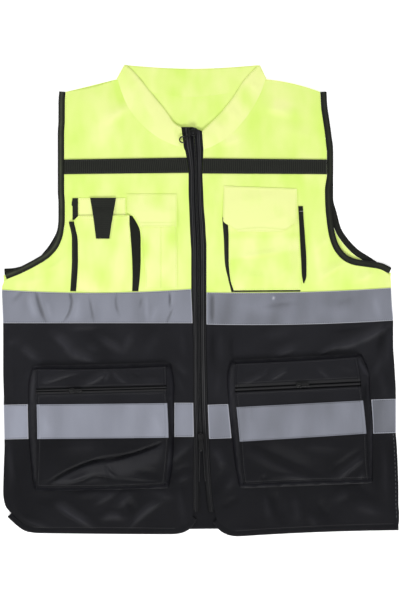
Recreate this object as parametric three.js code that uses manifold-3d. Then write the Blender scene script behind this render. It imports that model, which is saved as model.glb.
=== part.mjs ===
// A sleeveless safety vest with a stand collar, laid on its back and zipped up.
//
// Millimetres, +Z up. The origin is on the surface it lies on, under the middle of the garment:
// +Y points to the collar and +X to the viewer's right, which is the wearer's left. Pieces are
// named by the wearer's side.
//
// Every panel is a wall of cloth through rows of points. A row is a straight or slightly bowed
// line from the panel's inner edge (neck, zip) to its outer edge (armhole, side seam), and a
// table holds the two ends of each row. What lies on a panel takes the panel's own points.

import * as THREE from 'three';
import Module from 'manifold-3d';

const wasm = await Module();
wasm.setup();

// ---------------------------------------------------------------- driving dimensions

const CLOTH = 1.2;          // knitted polyester with its seam allowances
const TRIM = 1.2;           // webbing, straps and pocket pieces
const TAPE = 1.0;           // reflective tape
const SEAM = 0.3;           // play between neighbouring pieces
const FRONT_REST = 3.2;     // underside of the fronts above the surface
const BAND_LIFT = TAPE + SEAM;   // the back rises this much over its own reflective bands
const SETTLE = 18;          // width over which a front comes down to the side seam
const BINDING_WIDTH = 9.5;
const BINDING_THICKNESS = 1.9;
const BACK_BINDING_THICKNESS = 1.5;
const HEM_WIDTH = 7.5;
const COLLAR = 1.5;         // the collar is two layers of cloth
const COIL_WIDTH = 1.8;
const COIL_HEIGHT = 1.5;
const HIP_DEPTH = 9;        // height of the hip pockets' bellows gussets
const PHONE_DEPTH = 2.2;
const CHEST_DEPTH = 2.6;
const PULL_THICKNESS = 1.1;

const FRONT_TOP = FRONT_REST + CLOTH;

// ---------------------------------------------------------------- tables and small maths

const table = (names, rows) => rows.map((row) =>
  Object.fromEntries(names.split(' ').map((name, i) => [name, row[i]])));

const mix = (a, b, t) => a + (b - a) * t;

const smooth = (t) => {
  const s = THREE.MathUtils.clamp(t, 0, 1);
  return s * s * (3 - 2 * s);
};

const point = (x, y, z) => new THREE.Vector3(x, y, z);

// A table of stations, with in-between rows where its column `steps` asks for them.
function subdivide(stations) {
  const rows = [stations[0]];
  stations.slice(1).forEach((b, i) => {
    const a = stations[i];
    for (let k = 1; k <= b.steps; k++) {
      const row = Object.keys(b).map((name) => [name, mix(a[name], b[name], k / b.steps)]);
      rows.push(Object.fromEntries(row));
    }
  });
  return rows;
}

// The value of a column at a given y, in a table ordered from the collar down.
function readColumn(stations, column, y) {
  const i = stations.findIndex((station) => station.y <= y);
  if (i <= 0) return stations.at(i)[column];
  const [a, b] = [stations[i - 1], stations[i]];
  return mix(a[column], b[column], (a.y - y) / (a.y - b.y));
}

// Height that soft ridges give a place. A ridge runs from one point to another, with a half
// width and a height.
function creaseHeight(creases, x, y) {
  return creases.reduce((highest, crease) => {
    const [dx, dy] = [crease.x2 - crease.x1, crease.y2 - crease.y1];
    const along = ((x - crease.x1) * dx + (y - crease.y1) * dy) / (dx * dx + dy * dy);
    const t = THREE.MathUtils.clamp(along, 0, 1);
    const away = Math.hypot(x - crease.x1 - t * dx, y - crease.y1 - t * dy) / crease.width;
    return Math.max(highest, crease.height * smooth(1 - away));
  }, 0);
}

// Rows of points in plan. `bow` lifts the middle of a row; u runs from 0 inside to 1 outside.
const layOut = (rows, columns) => rows.map((row) => columns.map((u) => ({
  u,
  row,
  x: mix(row.inX, row.outX, u),
  y: mix(row.inY, row.outY, u) + row.bow * 4 * u * (1 - u),
})));

const evenly = (count) => Array.from({ length: count + 1 }, (_, i) => i / count);

// Gives each point of a plan its height.
const raise = (plan, height) => plan.map((row) => row.map((p) => point(p.x, p.y, height(p))));

const shift = (grid, dz) => grid.map((row) => row.map((p) => point(p.x, p.y, p.z + dz)));

// ---------------------------------------------------------------- solids from rows of points

function closedGeometry(points, triangles) {
  const positions = points.flatMap((p) => [p.x, p.y, p.z]);
  let volume = 0;
  for (let i = 0; i < triangles.length; i += 3) {
    const [a, b, c] = [0, 1, 2].map((k) => points[triangles[i + k]]);
    volume += a.dot(b.clone().cross(c));
  }
  const index = volume > 0 ? triangles : [...triangles].reverse();
  const geometry = new THREE.BufferGeometry();
  geometry.setAttribute('position', new THREE.Float32BufferAttribute(positions, 3));
  geometry.setIndex(index);
  geometry.computeVertexNormals();
  return geometry;
}

// A wall between an outer and an inner grid of points. `looped` joins the last column to the first.
function wall(outer, inner, looped = false) {
  const rows = outer.length;
  const columns = outer[0].length;
  const at = (side, r, c) => (side * rows + r) * columns + (c % columns);
  const triangles = [];
  const quad = (a, b, c, d) => triangles.push(a, b, c, a, c, d);
  const last = looped ? columns : columns - 1;
  for (let r = 0; r < rows - 1; r++) {
    for (let c = 0; c < last; c++) {
      quad(at(0, r, c), at(0, r, c + 1), at(0, r + 1, c + 1), at(0, r + 1, c));
      quad(at(1, r, c), at(1, r + 1, c), at(1, r + 1, c + 1), at(1, r, c + 1));
    }
    if (looped) continue;
    quad(at(0, r, 0), at(0, r + 1, 0), at(1, r + 1, 0), at(1, r, 0));
    quad(at(0, r, last), at(1, r, last), at(1, r + 1, last), at(0, r + 1, last));
  }
  for (let c = 0; c < last; c++) {
    quad(at(0, 0, c), at(1, 0, c), at(1, 0, c + 1), at(0, 0, c + 1));
    quad(at(0, rows - 1, c), at(0, rows - 1, c + 1), at(1, rows - 1, c + 1), at(1, rows - 1, c));
  }
  return closedGeometry([...outer.flat(), ...inner.flat()], triangles);
}

// A sheet of the given thickness whose underside is the given grid.
const sheetOn = (underside, thickness) => wall(shift(underside, thickness), underside);

// A strip whose cross-section, a closed ring of points, is carried along a path.
function strip(rings) {
  const sides = rings[0].length;
  const triangles = [];
  for (let r = 0; r < rings.length - 1; r++) {
    for (let s = 0; s < sides; s++) {
      const [a, b] = [r * sides + s, r * sides + (s + 1) % sides];
      triangles.push(a, b, b + sides, a, b + sides, a + sides);
    }
  }
  const end = (rings.length - 1) * sides;
  for (let s = 1; s < sides - 1; s++) {
    triangles.push(0, s + 1, s, end, end + s, end + s + 1);
  }
  return closedGeometry(rings.flat(), triangles);
}

// Height of a panel's top at a place, read from the same triangles as its wall has.
function heightOn(grid, x, y) {
  for (let r = 0; r < grid.length - 1; r++) {
    for (let c = 0; c < grid[0].length - 1; c++) {
      const corners = [grid[r][c], grid[r][c + 1], grid[r + 1][c + 1], grid[r + 1][c]];
      for (const [a, b, d] of [[0, 1, 2], [0, 2, 3]].map((t) => t.map((k) => corners[k]))) {
        const area = (b.x - a.x) * (d.y - a.y) - (d.x - a.x) * (b.y - a.y);
        const s = ((x - a.x) * (d.y - a.y) - (d.x - a.x) * (y - a.y)) / area;
        const t = ((b.x - a.x) * (y - a.y) - (x - a.x) * (b.y - a.y)) / area;
        if (s >= -1e-6 && t >= -1e-6 && s + t <= 1 + 1e-6) {
          return a.z + s * (b.z - a.z) + t * (d.z - a.z);
        }
      }
    }
  }
  return FRONT_TOP;
}

// ---------------------------------------------------------------- colours

const FINISHES = {
  neon: { color: 0xf0fe91, roughness: 0.75, metalness: 0 },
  black_cloth: { color: 0x26272b, roughness: 0.9, metalness: 0 },
  tape: { color: 0x8f929c, roughness: 0.45, metalness: 0.1 },
  webbing: { color: 0x2c2e29, roughness: 0.85, metalness: 0 },
  binding: { color: 0x33382a, roughness: 0.6, metalness: 0 },
  zip: { color: 0x1c1d1f, roughness: 0.7, metalness: 0 },
  black_metal: { color: 0x26272a, roughness: 0.35, metalness: 0.8 },
};

const vest = new THREE.Group();

function add(name, finish, geometry) {
  const mesh = new THREE.Mesh(geometry, new THREE.MeshStandardMaterial(FINISHES[finish]));
  mesh.name = name;
  vest.add(mesh);
  return mesh;
}

// ---------------------------------------------------------------- creases

const FRONT_CREASES = table('x1 y1 x2 y2 width height', [
  [-151, 264, -104, 294, 15, 2.0],     // right shoulder
  [98, 290, 140, 280, 16, 1.6],        // left shoulder
  [190, 38, 218, 54, 13, 1.8],         // left, below the armhole
  [232, 26, 258, 40, 13, 1.4],
  [-248, 14, -235, -32, 14, 1.6],      // across the right upper band
  [-196, 6, -208, -18, 13, 1.2],
  [196, -72, 239, -56, 15, 2.6],       // left, band to hip pocket
  [239, -56, 282, -37, 15, 2.6],
  [-225, -54, -184, -80, 15, 2.2],     // right, band to hip pocket
  [-148, -52, -116, -72, 14, 1.8],
  [-212, -308, -166, -332, 14, 2.2],   // right, below the hip pocket
  [-142, -302, -128, -322, 14, 1.6],
  [-98, -332, -66, -304, 14, 2.0],
  [112, -300, 122, -330, 16, 1.5],     // left, below the hip pocket
]);

// ---------------------------------------------------------------- side seams

// Outer ends of the rows that the back and a front share from underarm to hem. `band` is 1 on
// the rows of a reflective band.
const RIGHT_SIDE = table('x y band', [
  [-296, 29, 0], [-299, 16, 1], [-298, -8, 1], [-297, -34, 1], [-297, -46, 0], [-297, -70, 0],
  [-297, -108, 0], [-296, -145, 0], [-296, -157, 1], [-295, -209, 1], [-295, -221, 0],
  [-296, -249, 0], [-297, -288, 0], [-294, -308, 0], [-287, -322, 0], [-279, -332, 0],
  [-267, -342, 0],
]);
const LEFT_SIDE = table('x y band', [
  [286, 35, 0], [287, 19, 1], [288, -5, 1], [290, -30, 1], [290, -42, 0], [290, -66, 0],
  [292, -99, 0], [294, -136, 0], [294, -148, 1], [294, -199, 1], [295, -211, 0],
  [297, -249, 0], [298, -288, 0], [298, -306, 0], [299, -320, 0], [299, -330, 0],
  [298, -338, 0],
]);
const UPPER_JOIN = 2;        // the row of the side tables where the yellow cloth ends
const SIDE_STEPS = [1, 1, 1, 1, 1, 2, 2, 2, 1, 2, 1, 1, 2, 1, 2, 1, 1];

// ---------------------------------------------------------------- fronts

const FRONT_COLUMNS = [0, 0.07, 0.14, 0.22, 0.31, 0.4, 0.5, 0.6, 0.69, 0.78, 0.865, 0.93, 0.975,
  1];

// Rows from the shoulder to the underarm: inner end on the neck and the zip, outer end on the
// armhole. `settle` is 1 where the front comes down to the shoulder seam. `edgeX edgeY edgeZ`
// is the collar's free edge over the rows that end on the neck.
const RIGHT_NECK = table('inX inY outX outY bow settle edgeX edgeY edgeZ', [
  [-125, 333, -203, 314, -3, 1, -113, 355, 2.6],
  [-120, 317, -204, 297, -1, 0.45, -102, 346, 3.4],
  [-110, 293, -204, 272, 0, 0, -90, 332, 5.2],
  [-92, 269, -205, 251, 0, 0, -74, 312, 6.4],
  [-65, 246, -205, 233, 0, 0, -54, 288, 6.4],
  [-38, 233, -205, 223, 0, 0, -38, 266, 5.4],
  [-25, 229, -205, 218, 0, 0, -29, 261, 4.6],
]);
const LEFT_NECK = table('inX inY outX outY bow settle edgeX edgeY edgeZ', [
  [98, 333, 180, 314, 3, 1, 88, 354, 2.6],
  [92, 316, 181, 294, 1, 0.45, 77, 344, 3.4],
  [81, 294, 184, 272, 0, 0, 63, 328, 5.2],
  [66, 272, 187, 251, 0, 0, 47, 303, 6.4],
  [41, 246, 189, 232, 0, 0, 26, 278, 6.4],
  [16, 231, 190, 223, 0, 0, 10, 262, 5.4],
  [4.5, 226, 190, 218, 0, 0, 2.4, 255, 4.6],
]);
const RIGHT_CHEST = table('inX inY outX outY', [
  [-21, 215, -205, 212], [-18, 192, -205, 190], [-18, 166, -205, 166], [-17, 139, -205, 145],
  [-16, 112, -206, 123], [-15, 91, -209, 103], [-14, 73, -218, 84], [-14, 58, -233, 66],
  [-14, 46, -252, 53], [-14, 36, -273, 42],
]);
const LEFT_CHEST = table('inX inY outX outY', [
  [4, 214, 190, 212], [3, 191, 190, 190], [4, 166, 187, 166], [5, 142, 188, 144],
  [7, 118, 191, 121], [8, 99, 195, 99], [9, 82, 200, 81], [9, 70, 207, 69], [9, 59, 217, 59],
  [9, 50, 232, 53], [9, 41, 252, 50], [9, 33, 270, 47],
]);
// Inner ends of the rows that end on the side seam, with the bow of each row.
const RIGHT_ZIP_EDGE = table('x y bow', [
  [-14, 27, 0], [-14, 17, -5], [-13, -8, -2], [-12, -34, 0], [-12, -45, 0], [-11, -68, 0],
  [-11, -108, 0], [-11, -142, 0], [-11, -154, 1], [-10, -205, 1], [-10.5, -217, 0],
  [-11, -248, 0], [-11, -290, 0], [-11, -310, 0], [-12, -326, 0], [-18, -337, 0],
  [-30, -344, -0.5],
]);
const LEFT_ZIP_EDGE = table('x y bow', [
  [9, 24, 0], [9, 12, -3], [9, -12, -3], [9, -36, -3], [9, -47, 0], [9, -68, 0],
  [10, -105, 0], [11, -145, 0], [11, -157, 0], [13, -208, 0], [13.5, -219, 0], [15, -252, 0],
  [18, -296, 0], [21, -316, 0], [25, -330, 0], [33, -341, 1], [47, -348, 2],
]);

const HEM_ZIP_ROWS = 2;           // rows that a front's hem strip climbs beside the zip
const HEM_CORNER_ROWS = 3;        // rows that it climbs round the rounded right corner
const WEBBING_ROWS = [7, 8];      // rows of the front that bound the chest webbing

function frontRows(neck, chest, zipEdge, side) {
  const above = [
    ...neck.map(({ inX, inY, outX, outY, bow, settle }) => (
      { inX, inY, outX, outY, bow, settle, side: 0, band: 0, steps: 1 })),
    ...chest.map((row) => ({ ...row, bow: 0, settle: 0, side: 0, band: 0, steps: 1 })),
  ];
  const below = side.map((seam, i) => ({
    inX: zipEdge[i].x,
    inY: zipEdge[i].y,
    outX: seam.x,
    outY: seam.y,
    bow: zipEdge[i].bow,
    settle: 0,
    side: 1,
    band: seam.band,
    steps: SIDE_STEPS[i],
  }));
  return subdivide([...above, ...below]);
}

// Underside of a front: free of the back in the middle, and down on it at the side seam.
function frontUnderside({ x, y, u, row }) {
  const seamHeight = CLOTH + SEAM + row.band * BAND_LIFT;
  const fromSide = (1 - u) * Math.abs(row.outX - row.inX);
  const down = Math.max(row.settle, row.side * (1 - smooth(fromSide / SETTLE)));
  return mix(FRONT_REST + creaseHeight(FRONT_CREASES, x, y), seamHeight, down);
}

// Row at which the yellow cloth meets the black, and the first and last row of each band.
function landmarks(rows, side) {
  const find = (seam) => rows.findIndex((row) => row.side === 1 && row.outY === seam.y);
  const bandRows = side.filter((seam) => seam.band === 1).map(find);
  return {
    join: find(side[UPPER_JOIN]),
    upperBand: [bandRows[0], bandRows[2]],
    lowerBand: [bandRows[3], bandRows[4]],
  };
}

// Cuts a grid of rows in two, half a seam's play away from the joining row.
function cutAt(grid, r) {
  const moved = (row, dy) => row.map((p) => point(p.x, p.y + dy, p.z));
  return [
    [...grid.slice(0, r), moved(grid[r], SEAM / 2)],
    [moved(grid[r], -SEAM / 2), ...grid.slice(r + 1)],
  ];
}

// A binding or hem strip along a path, beside the edge of a cloth: a flattened ring. `outward`
// gives a direction away from the cloth, and `centre` the height of the strip's middle.
function edging(path, outward, width, thickness, centre) {
  const rings = path.map((p, i) => {
    const before = path[Math.max(i - 1, 0)];
    const after = path[Math.min(i + 1, path.length - 1)];
    const side = point(before.y - after.y, after.x - before.x, 0).normalize();
    if (side.dot(outward(p)) < 0) side.negate();
    const z = centre(p);
    return [[0, 0.35], [0.5, 0.5], [1, 0.3], [1, -0.3], [0.5, -0.5], [0, -0.35]].map(([s, h]) => (
      point(p.x + side.x * (SEAM + s * width), p.y + side.y * (SEAM + s * width),
        z + h * thickness)));
  });
  return strip(rings);
}

function makeFront({ name, neck, chest, zipEdge, side, hemCorner }) {
  const rows = frontRows(neck, chest, zipEdge, side);
  const underside = raise(layOut(rows, FRONT_COLUMNS), frontUnderside);
  const top = shift(underside, CLOTH);
  const marks = landmarks(rows, side);
  const [upper, lower] = cutAt(underside, marks.join);
  add(`front_${name}_upper`, 'neon', sheetOn(upper, CLOTH));
  add(`front_${name}_lower`, 'black_cloth', sheetOn(lower, CLOTH));

  const onTop = ([from, to]) => shift(top.slice(from, to + 1), SEAM);
  add(`upper_band_${name}`, 'tape', sheetOn(onTop(marks.upperBand), TAPE));
  add(`chest_webbing_${name}`, 'webbing', sheetOn(onTop(WEBBING_ROWS), TRIM));

  // Bindings stay above the back's own, also where the cloth comes down to a seam.
  const bindingHeight = (p) => Math.max(p.z + CLOTH / 2,
    BACK_BINDING_THICKNESS + SEAM + BINDING_THICKNESS / 2);
  const outward = Math.sign(side[0].x);
  const armhole = underside.slice(0, neck.length + chest.length + 1).map((row) => row.at(-1));
  add(`armhole_binding_front_${name}`, 'binding', edging(armhole,
    () => point(outward, 0.3, 0), BINDING_WIDTH, BINDING_THICKNESS, bindingHeight));
  const hem = hemPath(underside, HEM_ZIP_ROWS, hemCorner);
  add(`hem_binding_front_${name}`, 'black_cloth', edging(hem.path,
    hem.outward, HEM_WIDTH, BINDING_THICKNESS, bindingHeight));
  return { name, rows, marks, underside, top };
}

// The path of a hem strip: down `startRows` rows of the inner edge, along the last row, and up
// `endRows` rows of the outer edge.
function hemPath(grid, startRows, endRows) {
  const start = grid.slice(-1 - startRows, -1).map((row) => row[0]);
  const end = grid.slice(-1 - endRows, -1).map((row) => row.at(-1)).reverse();
  const last = grid.at(-1);
  const above = point(mix(last[0].x, last.at(-1).x, 0.5), last[0].y + 120, 0);
  return {
    path: [...start, ...last, ...end],
    outward: (p) => point(p.x - above.x, 2 * (p.y - above.y), 0),
  };
}

const right = makeFront({
  name: 'right', neck: RIGHT_NECK, chest: RIGHT_CHEST, zipEdge: RIGHT_ZIP_EDGE,
  side: RIGHT_SIDE, hemCorner: HEM_CORNER_ROWS,
});
const left = makeFront({
  name: 'left', neck: LEFT_NECK, chest: LEFT_CHEST, zipEdge: LEFT_ZIP_EDGE,
  side: LEFT_SIDE, hemCorner: 0,
});

// ---------------------------------------------------------------- back

// Rows of the back from the shoulders to the underarms, from the right outline to the left one.
// `neck` is the share of the shoulder and neck profile that a row still has.
const BACK_ARMHOLES = table('inX inY outX outY neck', [
  [-203, 314, 180, 314, 1], [-203, 294, 181, 294, 0.7], [-203, 264, 184, 264, 0.35],
  [-203, 227, 190, 227, 0.08], [-203, 189, 190, 189, 0], [-203, 154, 190, 154, 0],
  [-203, 129, 193, 130, 0], [-206, 105, 199, 105, 0], [-215, 85, 211, 88, 0],
  [-228, 67, 231, 69, 0], [-242, 53, 248, 58, 0], [-261, 44, 264, 48, 0],
  [-282, 39, 276, 43, 0], [-297, 38, 287, 41, 0],
]);
const NECK_START = 0.2037;       // share of the top row's width at the right neck point
const NECK_END = 0.7859;
const NECK_RISE = 19.3;          // neck points above the shoulder tips
const NECK_DEPTH = 27;           // middle of the back neck below the neck points
const BACK_HEM_BOW = 4;
const BACK_COLUMNS = [0, 0.07, 0.14, NECK_START, 0.26, 0.32, 0.38, 0.44, 0.495, 0.55, 0.61, 0.67,
  0.73, NECK_END, 0.86, 0.93, 1];
const BACK_LOWER_COLUMNS = evenly(5);

// Height of the back's top edge over the line between the shoulder tips.
function neckProfile(u) {
  if (u <= NECK_START) return NECK_RISE * u / NECK_START;
  if (u >= NECK_END) return NECK_RISE * (1 - u) / (1 - NECK_END);
  const across = (2 * u - NECK_START - NECK_END) / (NECK_END - NECK_START);
  return NECK_RISE - NECK_DEPTH * Math.cos(across * Math.PI / 2) ** 0.8;
}

function makeBack() {
  const rows = subdivide([
    ...BACK_ARMHOLES.map((row) => ({ ...row, bow: 0, side: 0, band: 0, steps: 1 })),
    ...RIGHT_SIDE.map((seam, i) => ({
      inX: seam.x,
      inY: seam.y,
      outX: LEFT_SIDE[i].x,
      outY: LEFT_SIDE[i].y,
      neck: 0,
      bow: i === RIGHT_SIDE.length - 1 ? BACK_HEM_BOW : 0,
      side: 1,
      band: seam.band,
      steps: SIDE_STEPS[i],
    })),
  ]);
  const undersideThrough = (columns) => raise(
    layOut(rows, columns).map((row) => row.map((p) => (
      { ...p, y: p.y + p.row.neck * neckProfile(p.u) }))),
    ({ row }) => row.band * BAND_LIFT,
  );
  const underside = undersideThrough(BACK_COLUMNS);
  const plain = undersideThrough(BACK_LOWER_COLUMNS);
  const marks = landmarks(rows, LEFT_SIDE);
  add('back_upper', 'neon', sheetOn(cutAt(underside, marks.join)[0], CLOTH));
  add('back_lower', 'black_cloth', sheetOn(cutAt(plain, marks.join)[1], CLOTH));

  const onFloor = ([from, to]) => raise(plain.slice(from, to + 1), () => 0);
  add('upper_band_back', 'tape', sheetOn(onFloor(marks.upperBand), TAPE));
  add('lower_band_back', 'tape', sheetOn(onFloor(marks.lowerBand), TAPE));

  const flat = () => BACK_BINDING_THICKNESS / 2;
  const armholes = underside.slice(0, BACK_ARMHOLES.length);
  add('armhole_binding_back_right', 'binding', edging(armholes.map((row) => row[0]),
    () => point(-1, 0.3, 0), BINDING_WIDTH, BACK_BINDING_THICKNESS, flat));
  add('armhole_binding_back_left', 'binding', edging(armholes.map((row) => row.at(-1)),
    () => point(1, 0.3, 0), BINDING_WIDTH, BACK_BINDING_THICKNESS, flat));
  const hem = hemPath(plain, HEM_CORNER_ROWS, 0);
  add('hem_binding_back', 'black_cloth', edging(hem.path, hem.outward, HEM_WIDTH,
    BACK_BINDING_THICKNESS, flat));
  return { underside };
}

const back = makeBack();

// ---------------------------------------------------------------- collar

const COLLAR_STEPS = 4;          // steps from the neck seam to the free edge
const COLLAR_ROLL = 0.8;         // the standing cloth arches this much between them
const FOLD_HEIGHT = 2.6;         // middle of the collar's front layer where it folds
// Behind the neck the free edge is narrower than the seam, and sags in the middle.
const BACK_COLLAR = { share: 0.9, middleX: -13.5, shiftX: 1, halfWidth: 112, edgeY: 354.5, sag: 5.5 };

// One section of the collar: seam point, free edge point and the way its outer face looks.
function collarSections() {
  const wing = (neck, front) => neck.map((row, i) => {
    const seam = front.underside[i][0];
    const towardEdge = point(row.edgeX - seam.x, row.edgeY - seam.y, 0)
      .setLength(i === 0 ? 2 * SEAM : SEAM);
    return {
      seam: point(seam.x + towardEdge.x, seam.y + towardEdge.y,
        Math.max(seam.z + CLOTH / 2, FOLD_HEIGHT)),
      edge: point(row.edgeX, row.edgeY, row.edgeZ),
      faces: point(0, 0, 1),
    };
  });
  const fold = (section, sign) => {
    const radius = (FOLD_HEIGHT - COLLAR / 2) / 2;
    const out = (p) => point(p.x + sign * radius, p.y, COLLAR / 2 + radius);
    return { seam: out(section.seam), edge: out(section.edge), faces: point(sign, 0, 0) };
  };
  const under = (section) => ({
    seam: section.seam.clone().setZ(COLLAR / 2),
    edge: section.edge.clone().setZ(COLLAR / 2),
    faces: point(0, 0, -1),
  });
  const rightWing = wing(RIGHT_NECK, right).reverse();
  const leftWing = wing(LEFT_NECK, left);
  const neckline = back.underside[0].filter((p, i) => (
    BACK_COLUMNS[i] > NECK_START && BACK_COLUMNS[i] < NECK_END));
  const behind = neckline.map((p) => {
    const fromMiddle = p.x - BACK_COLLAR.middleX;
    const sag = BACK_COLLAR.sag * Math.cos(fromMiddle / BACK_COLLAR.halfWidth * Math.PI / 2);
    const edgeX = BACK_COLLAR.middleX + BACK_COLLAR.shiftX + BACK_COLLAR.share * fromMiddle;
    return {
      seam: point(p.x, p.y + SEAM, COLLAR / 2),
      edge: point(edgeX, BACK_COLLAR.edgeY - sag, COLLAR / 2),
      faces: point(0, 0, -1),
    };
  });
  return [...rightWing, fold(rightWing.at(-1), -1), under(rightWing.at(-1)), ...behind,
    under(leftWing[0]), fold(leftWing[0], 1), ...leftWing];
}

function makeCollar() {
  const grid = (side) => collarSections().map(({ seam, edge, faces }) => (
    evenly(COLLAR_STEPS).map((t) => {
      const roll = faces.z > 0 ? COLLAR_ROLL * Math.sin(Math.PI * t) : 0;
      return seam.clone().lerp(edge, t).addScaledVector(faces, side * COLLAR / 2)
        .add(point(0, 0, roll));
    })));
  add('collar', 'neon', wall(grid(1), grid(-1)));
}

makeCollar();

// ---------------------------------------------------------------- main zip

// Inner edges of the two tapes. They meet down to the lower slider, and part below it.
const ZIP = table('y right left', [
  [262, -11, -10.7], [236, -9, -8.7], [216, -7.9, -7.6], [192, -7, -6.7], [166, -6.7, -6.4],
  [136, -5.7, -5.4], [78, -3.3, -3], [20, -3, -2.7], [-34, -2.8, -2.5], [-154, -1.6, -1.3],
  [-200, 0.3, 0.6], [-215, 0.1, 2.4], [-270, -1, 6.2], [-333, -1, 13.4],
]);
const TAPES_END = -320;          // the tapes stop above the strips of the front hems
const COIL_SHIFT = -3;           // the coils' stations against those of the tapes
const COIL_GAP = 0.05;           // between a coil and the middle of the zip

function makeTape(front, neck) {
  const end = neck.at(-1);
  const sign = Math.sign(end.outX);
  const outer = [
    point(end.edgeX, end.edgeY, 0),
    ...front.underside.slice(neck.length - 1).map((row) => row[0]).filter((p) => p.y > TAPES_END),
  ];
  const rows = outer.map((p) => [
    point(p.x - sign * SEAM, p.y, FRONT_REST),
    point(readColumn(ZIP, front.name, p.y), p.y, FRONT_REST),
  ]);
  add(`zip_tape_${front.name}`, 'zip', sheetOn(rows, CLOTH));

  const coilRows = ZIP.map((station) => [COIL_WIDTH, COIL_GAP].map((away) => (
    point(station[front.name] + sign * away, station.y + COIL_SHIFT, FRONT_TOP + SEAM))));
  add(`zip_coil_${front.name}`, 'zip', sheetOn(coilRows.slice(0, -1), COIL_HEIGHT));
}

makeTape(right, RIGHT_NECK);
makeTape(left, LEFT_NECK);

// ---------------------------------------------------------------- zip sliders and pulls

// `plate` is the body's thickness, and `rise` the opening under the bridge, which is `bar` thick.
// `flange` reaches down beside the coils.
const MAIN_SLIDER = {
  length: 12, width: 8.6, plate: 1.6, bridge: 9, bar: 1.2, rise: 2.3, flange: 1.4,
};
const POCKET_SLIDER = {
  length: 9, width: 7, plate: 1.3, bridge: 6.4, bar: 1.1, rise: 2.1, flange: 0,
};
const BRIDGE_WIDTH = 1.4;
const BRIDGE_CHAMFER = 0.8;
const BRIDGE_ROOT = 0.3;         // the bridge sinks this deep in the plate
const FLANGE_THICKNESS = 1;
const FLANGE_SHARE = 0.6;        // of the slider's length
const FLANGE_ROOT = 0.4;         // the flanges sink this deep in the plate

function manifoldOf(geometry) {
  const position = geometry.getAttribute('position');
  const found = new Map();
  const vertices = [];
  const triangles = [];
  for (let i = 0; i < position.count; i++) {
    const p = [position.getX(i), position.getY(i), position.getZ(i)];
    const key = p.map((v) => v.toFixed(4)).join();
    if (!found.has(key)) {
      found.set(key, vertices.length / 3);
      vertices.push(...p);
    }
    triangles.push(found.get(key));
  }
  return new wasm.Manifold(new wasm.Mesh({
    numProp: 3,
    vertProperties: new Float32Array(vertices),
    triVerts: new Uint32Array(triangles),
  }));
}

function geometryOf(solid) {
  const mesh = solid.getMesh();
  const geometry = new THREE.BufferGeometry();
  geometry.setAttribute('position', new THREE.BufferAttribute(mesh.vertProperties, 3));
  geometry.setIndex([...mesh.triVerts]);
  geometry.computeVertexNormals();
  return geometry;
}

const extrude = (shape, depth, curveSegments = 4) => (
  new THREE.ExtrudeGeometry(shape, { depth, bevelEnabled: false, curveSegments }));

function roundedRectangle(width, height, radius) {
  const [x, y] = [width / 2, height / 2];
  const shape = new THREE.Shape();
  shape.moveTo(-x + radius, -y);
  shape.lineTo(x - radius, -y);
  shape.absarc(x - radius, -y + radius, radius, -Math.PI / 2, 0);
  shape.lineTo(x, y - radius);
  shape.absarc(x - radius, y - radius, radius, 0, Math.PI / 2);
  shape.lineTo(-x + radius, y);
  shape.absarc(-x + radius, y - radius, radius, Math.PI / 2, Math.PI);
  shape.lineTo(-x, -y + radius);
  shape.absarc(-x + radius, -y + radius, radius, Math.PI, 1.5 * Math.PI);
  return shape;
}

// A slider lying along Y, its underside at z = 0: plate, bridge, and flanges beside the coil.
function sliderGeometry({ length, width, plate, bridge, bar, rise, flange }) {
  const arch = new THREE.Shape();
  const top = plate + rise + bar;
  arch.moveTo(-bridge / 2, plate - BRIDGE_ROOT);
  arch.lineTo(bridge / 2, plate - BRIDGE_ROOT);
  arch.lineTo(bridge / 2, top - BRIDGE_CHAMFER);
  arch.lineTo(bridge / 2 - BRIDGE_CHAMFER, top);
  arch.lineTo(-bridge / 2 + BRIDGE_CHAMFER, top);
  arch.lineTo(-bridge / 2, top - BRIDGE_CHAMFER);
  const opening = new THREE.Path();
  opening.moveTo(-bridge / 2 + bar, plate);
  opening.lineTo(-bridge / 2 + bar, plate + rise);
  opening.lineTo(bridge / 2 - bar, plate + rise);
  opening.lineTo(bridge / 2 - bar, plate);
  arch.holes.push(opening);
  const archGeometry = extrude(arch, BRIDGE_WIDTH);
  archGeometry.translate(0, 0, -BRIDGE_WIDTH / 2);
  archGeometry.rotateX(Math.PI / 2);
  archGeometry.rotateZ(Math.PI / 2);
  const plateGeometry = extrude(roundedRectangle(width, length, width * 0.3), plate);
  let solid = manifoldOf(plateGeometry).add(manifoldOf(archGeometry));
  if (flange > 0) {
    for (const sign of [-1, 1]) {
      const side = new THREE.BoxGeometry(FLANGE_THICKNESS, length * FLANGE_SHARE,
        flange + FLANGE_ROOT);
      side.translate(sign * (width - FLANGE_THICKNESS) / 2, 0, (FLANGE_ROOT - flange) / 2);
      solid = solid.add(manifoldOf(side.toNonIndexed()));
    }
  }
  return geometryOf(solid);
}

const PULL_ROOT = 0.65;          // half of the pull's bar, which lies under the bridge
const TAB_CHAMFER = 1;

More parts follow.
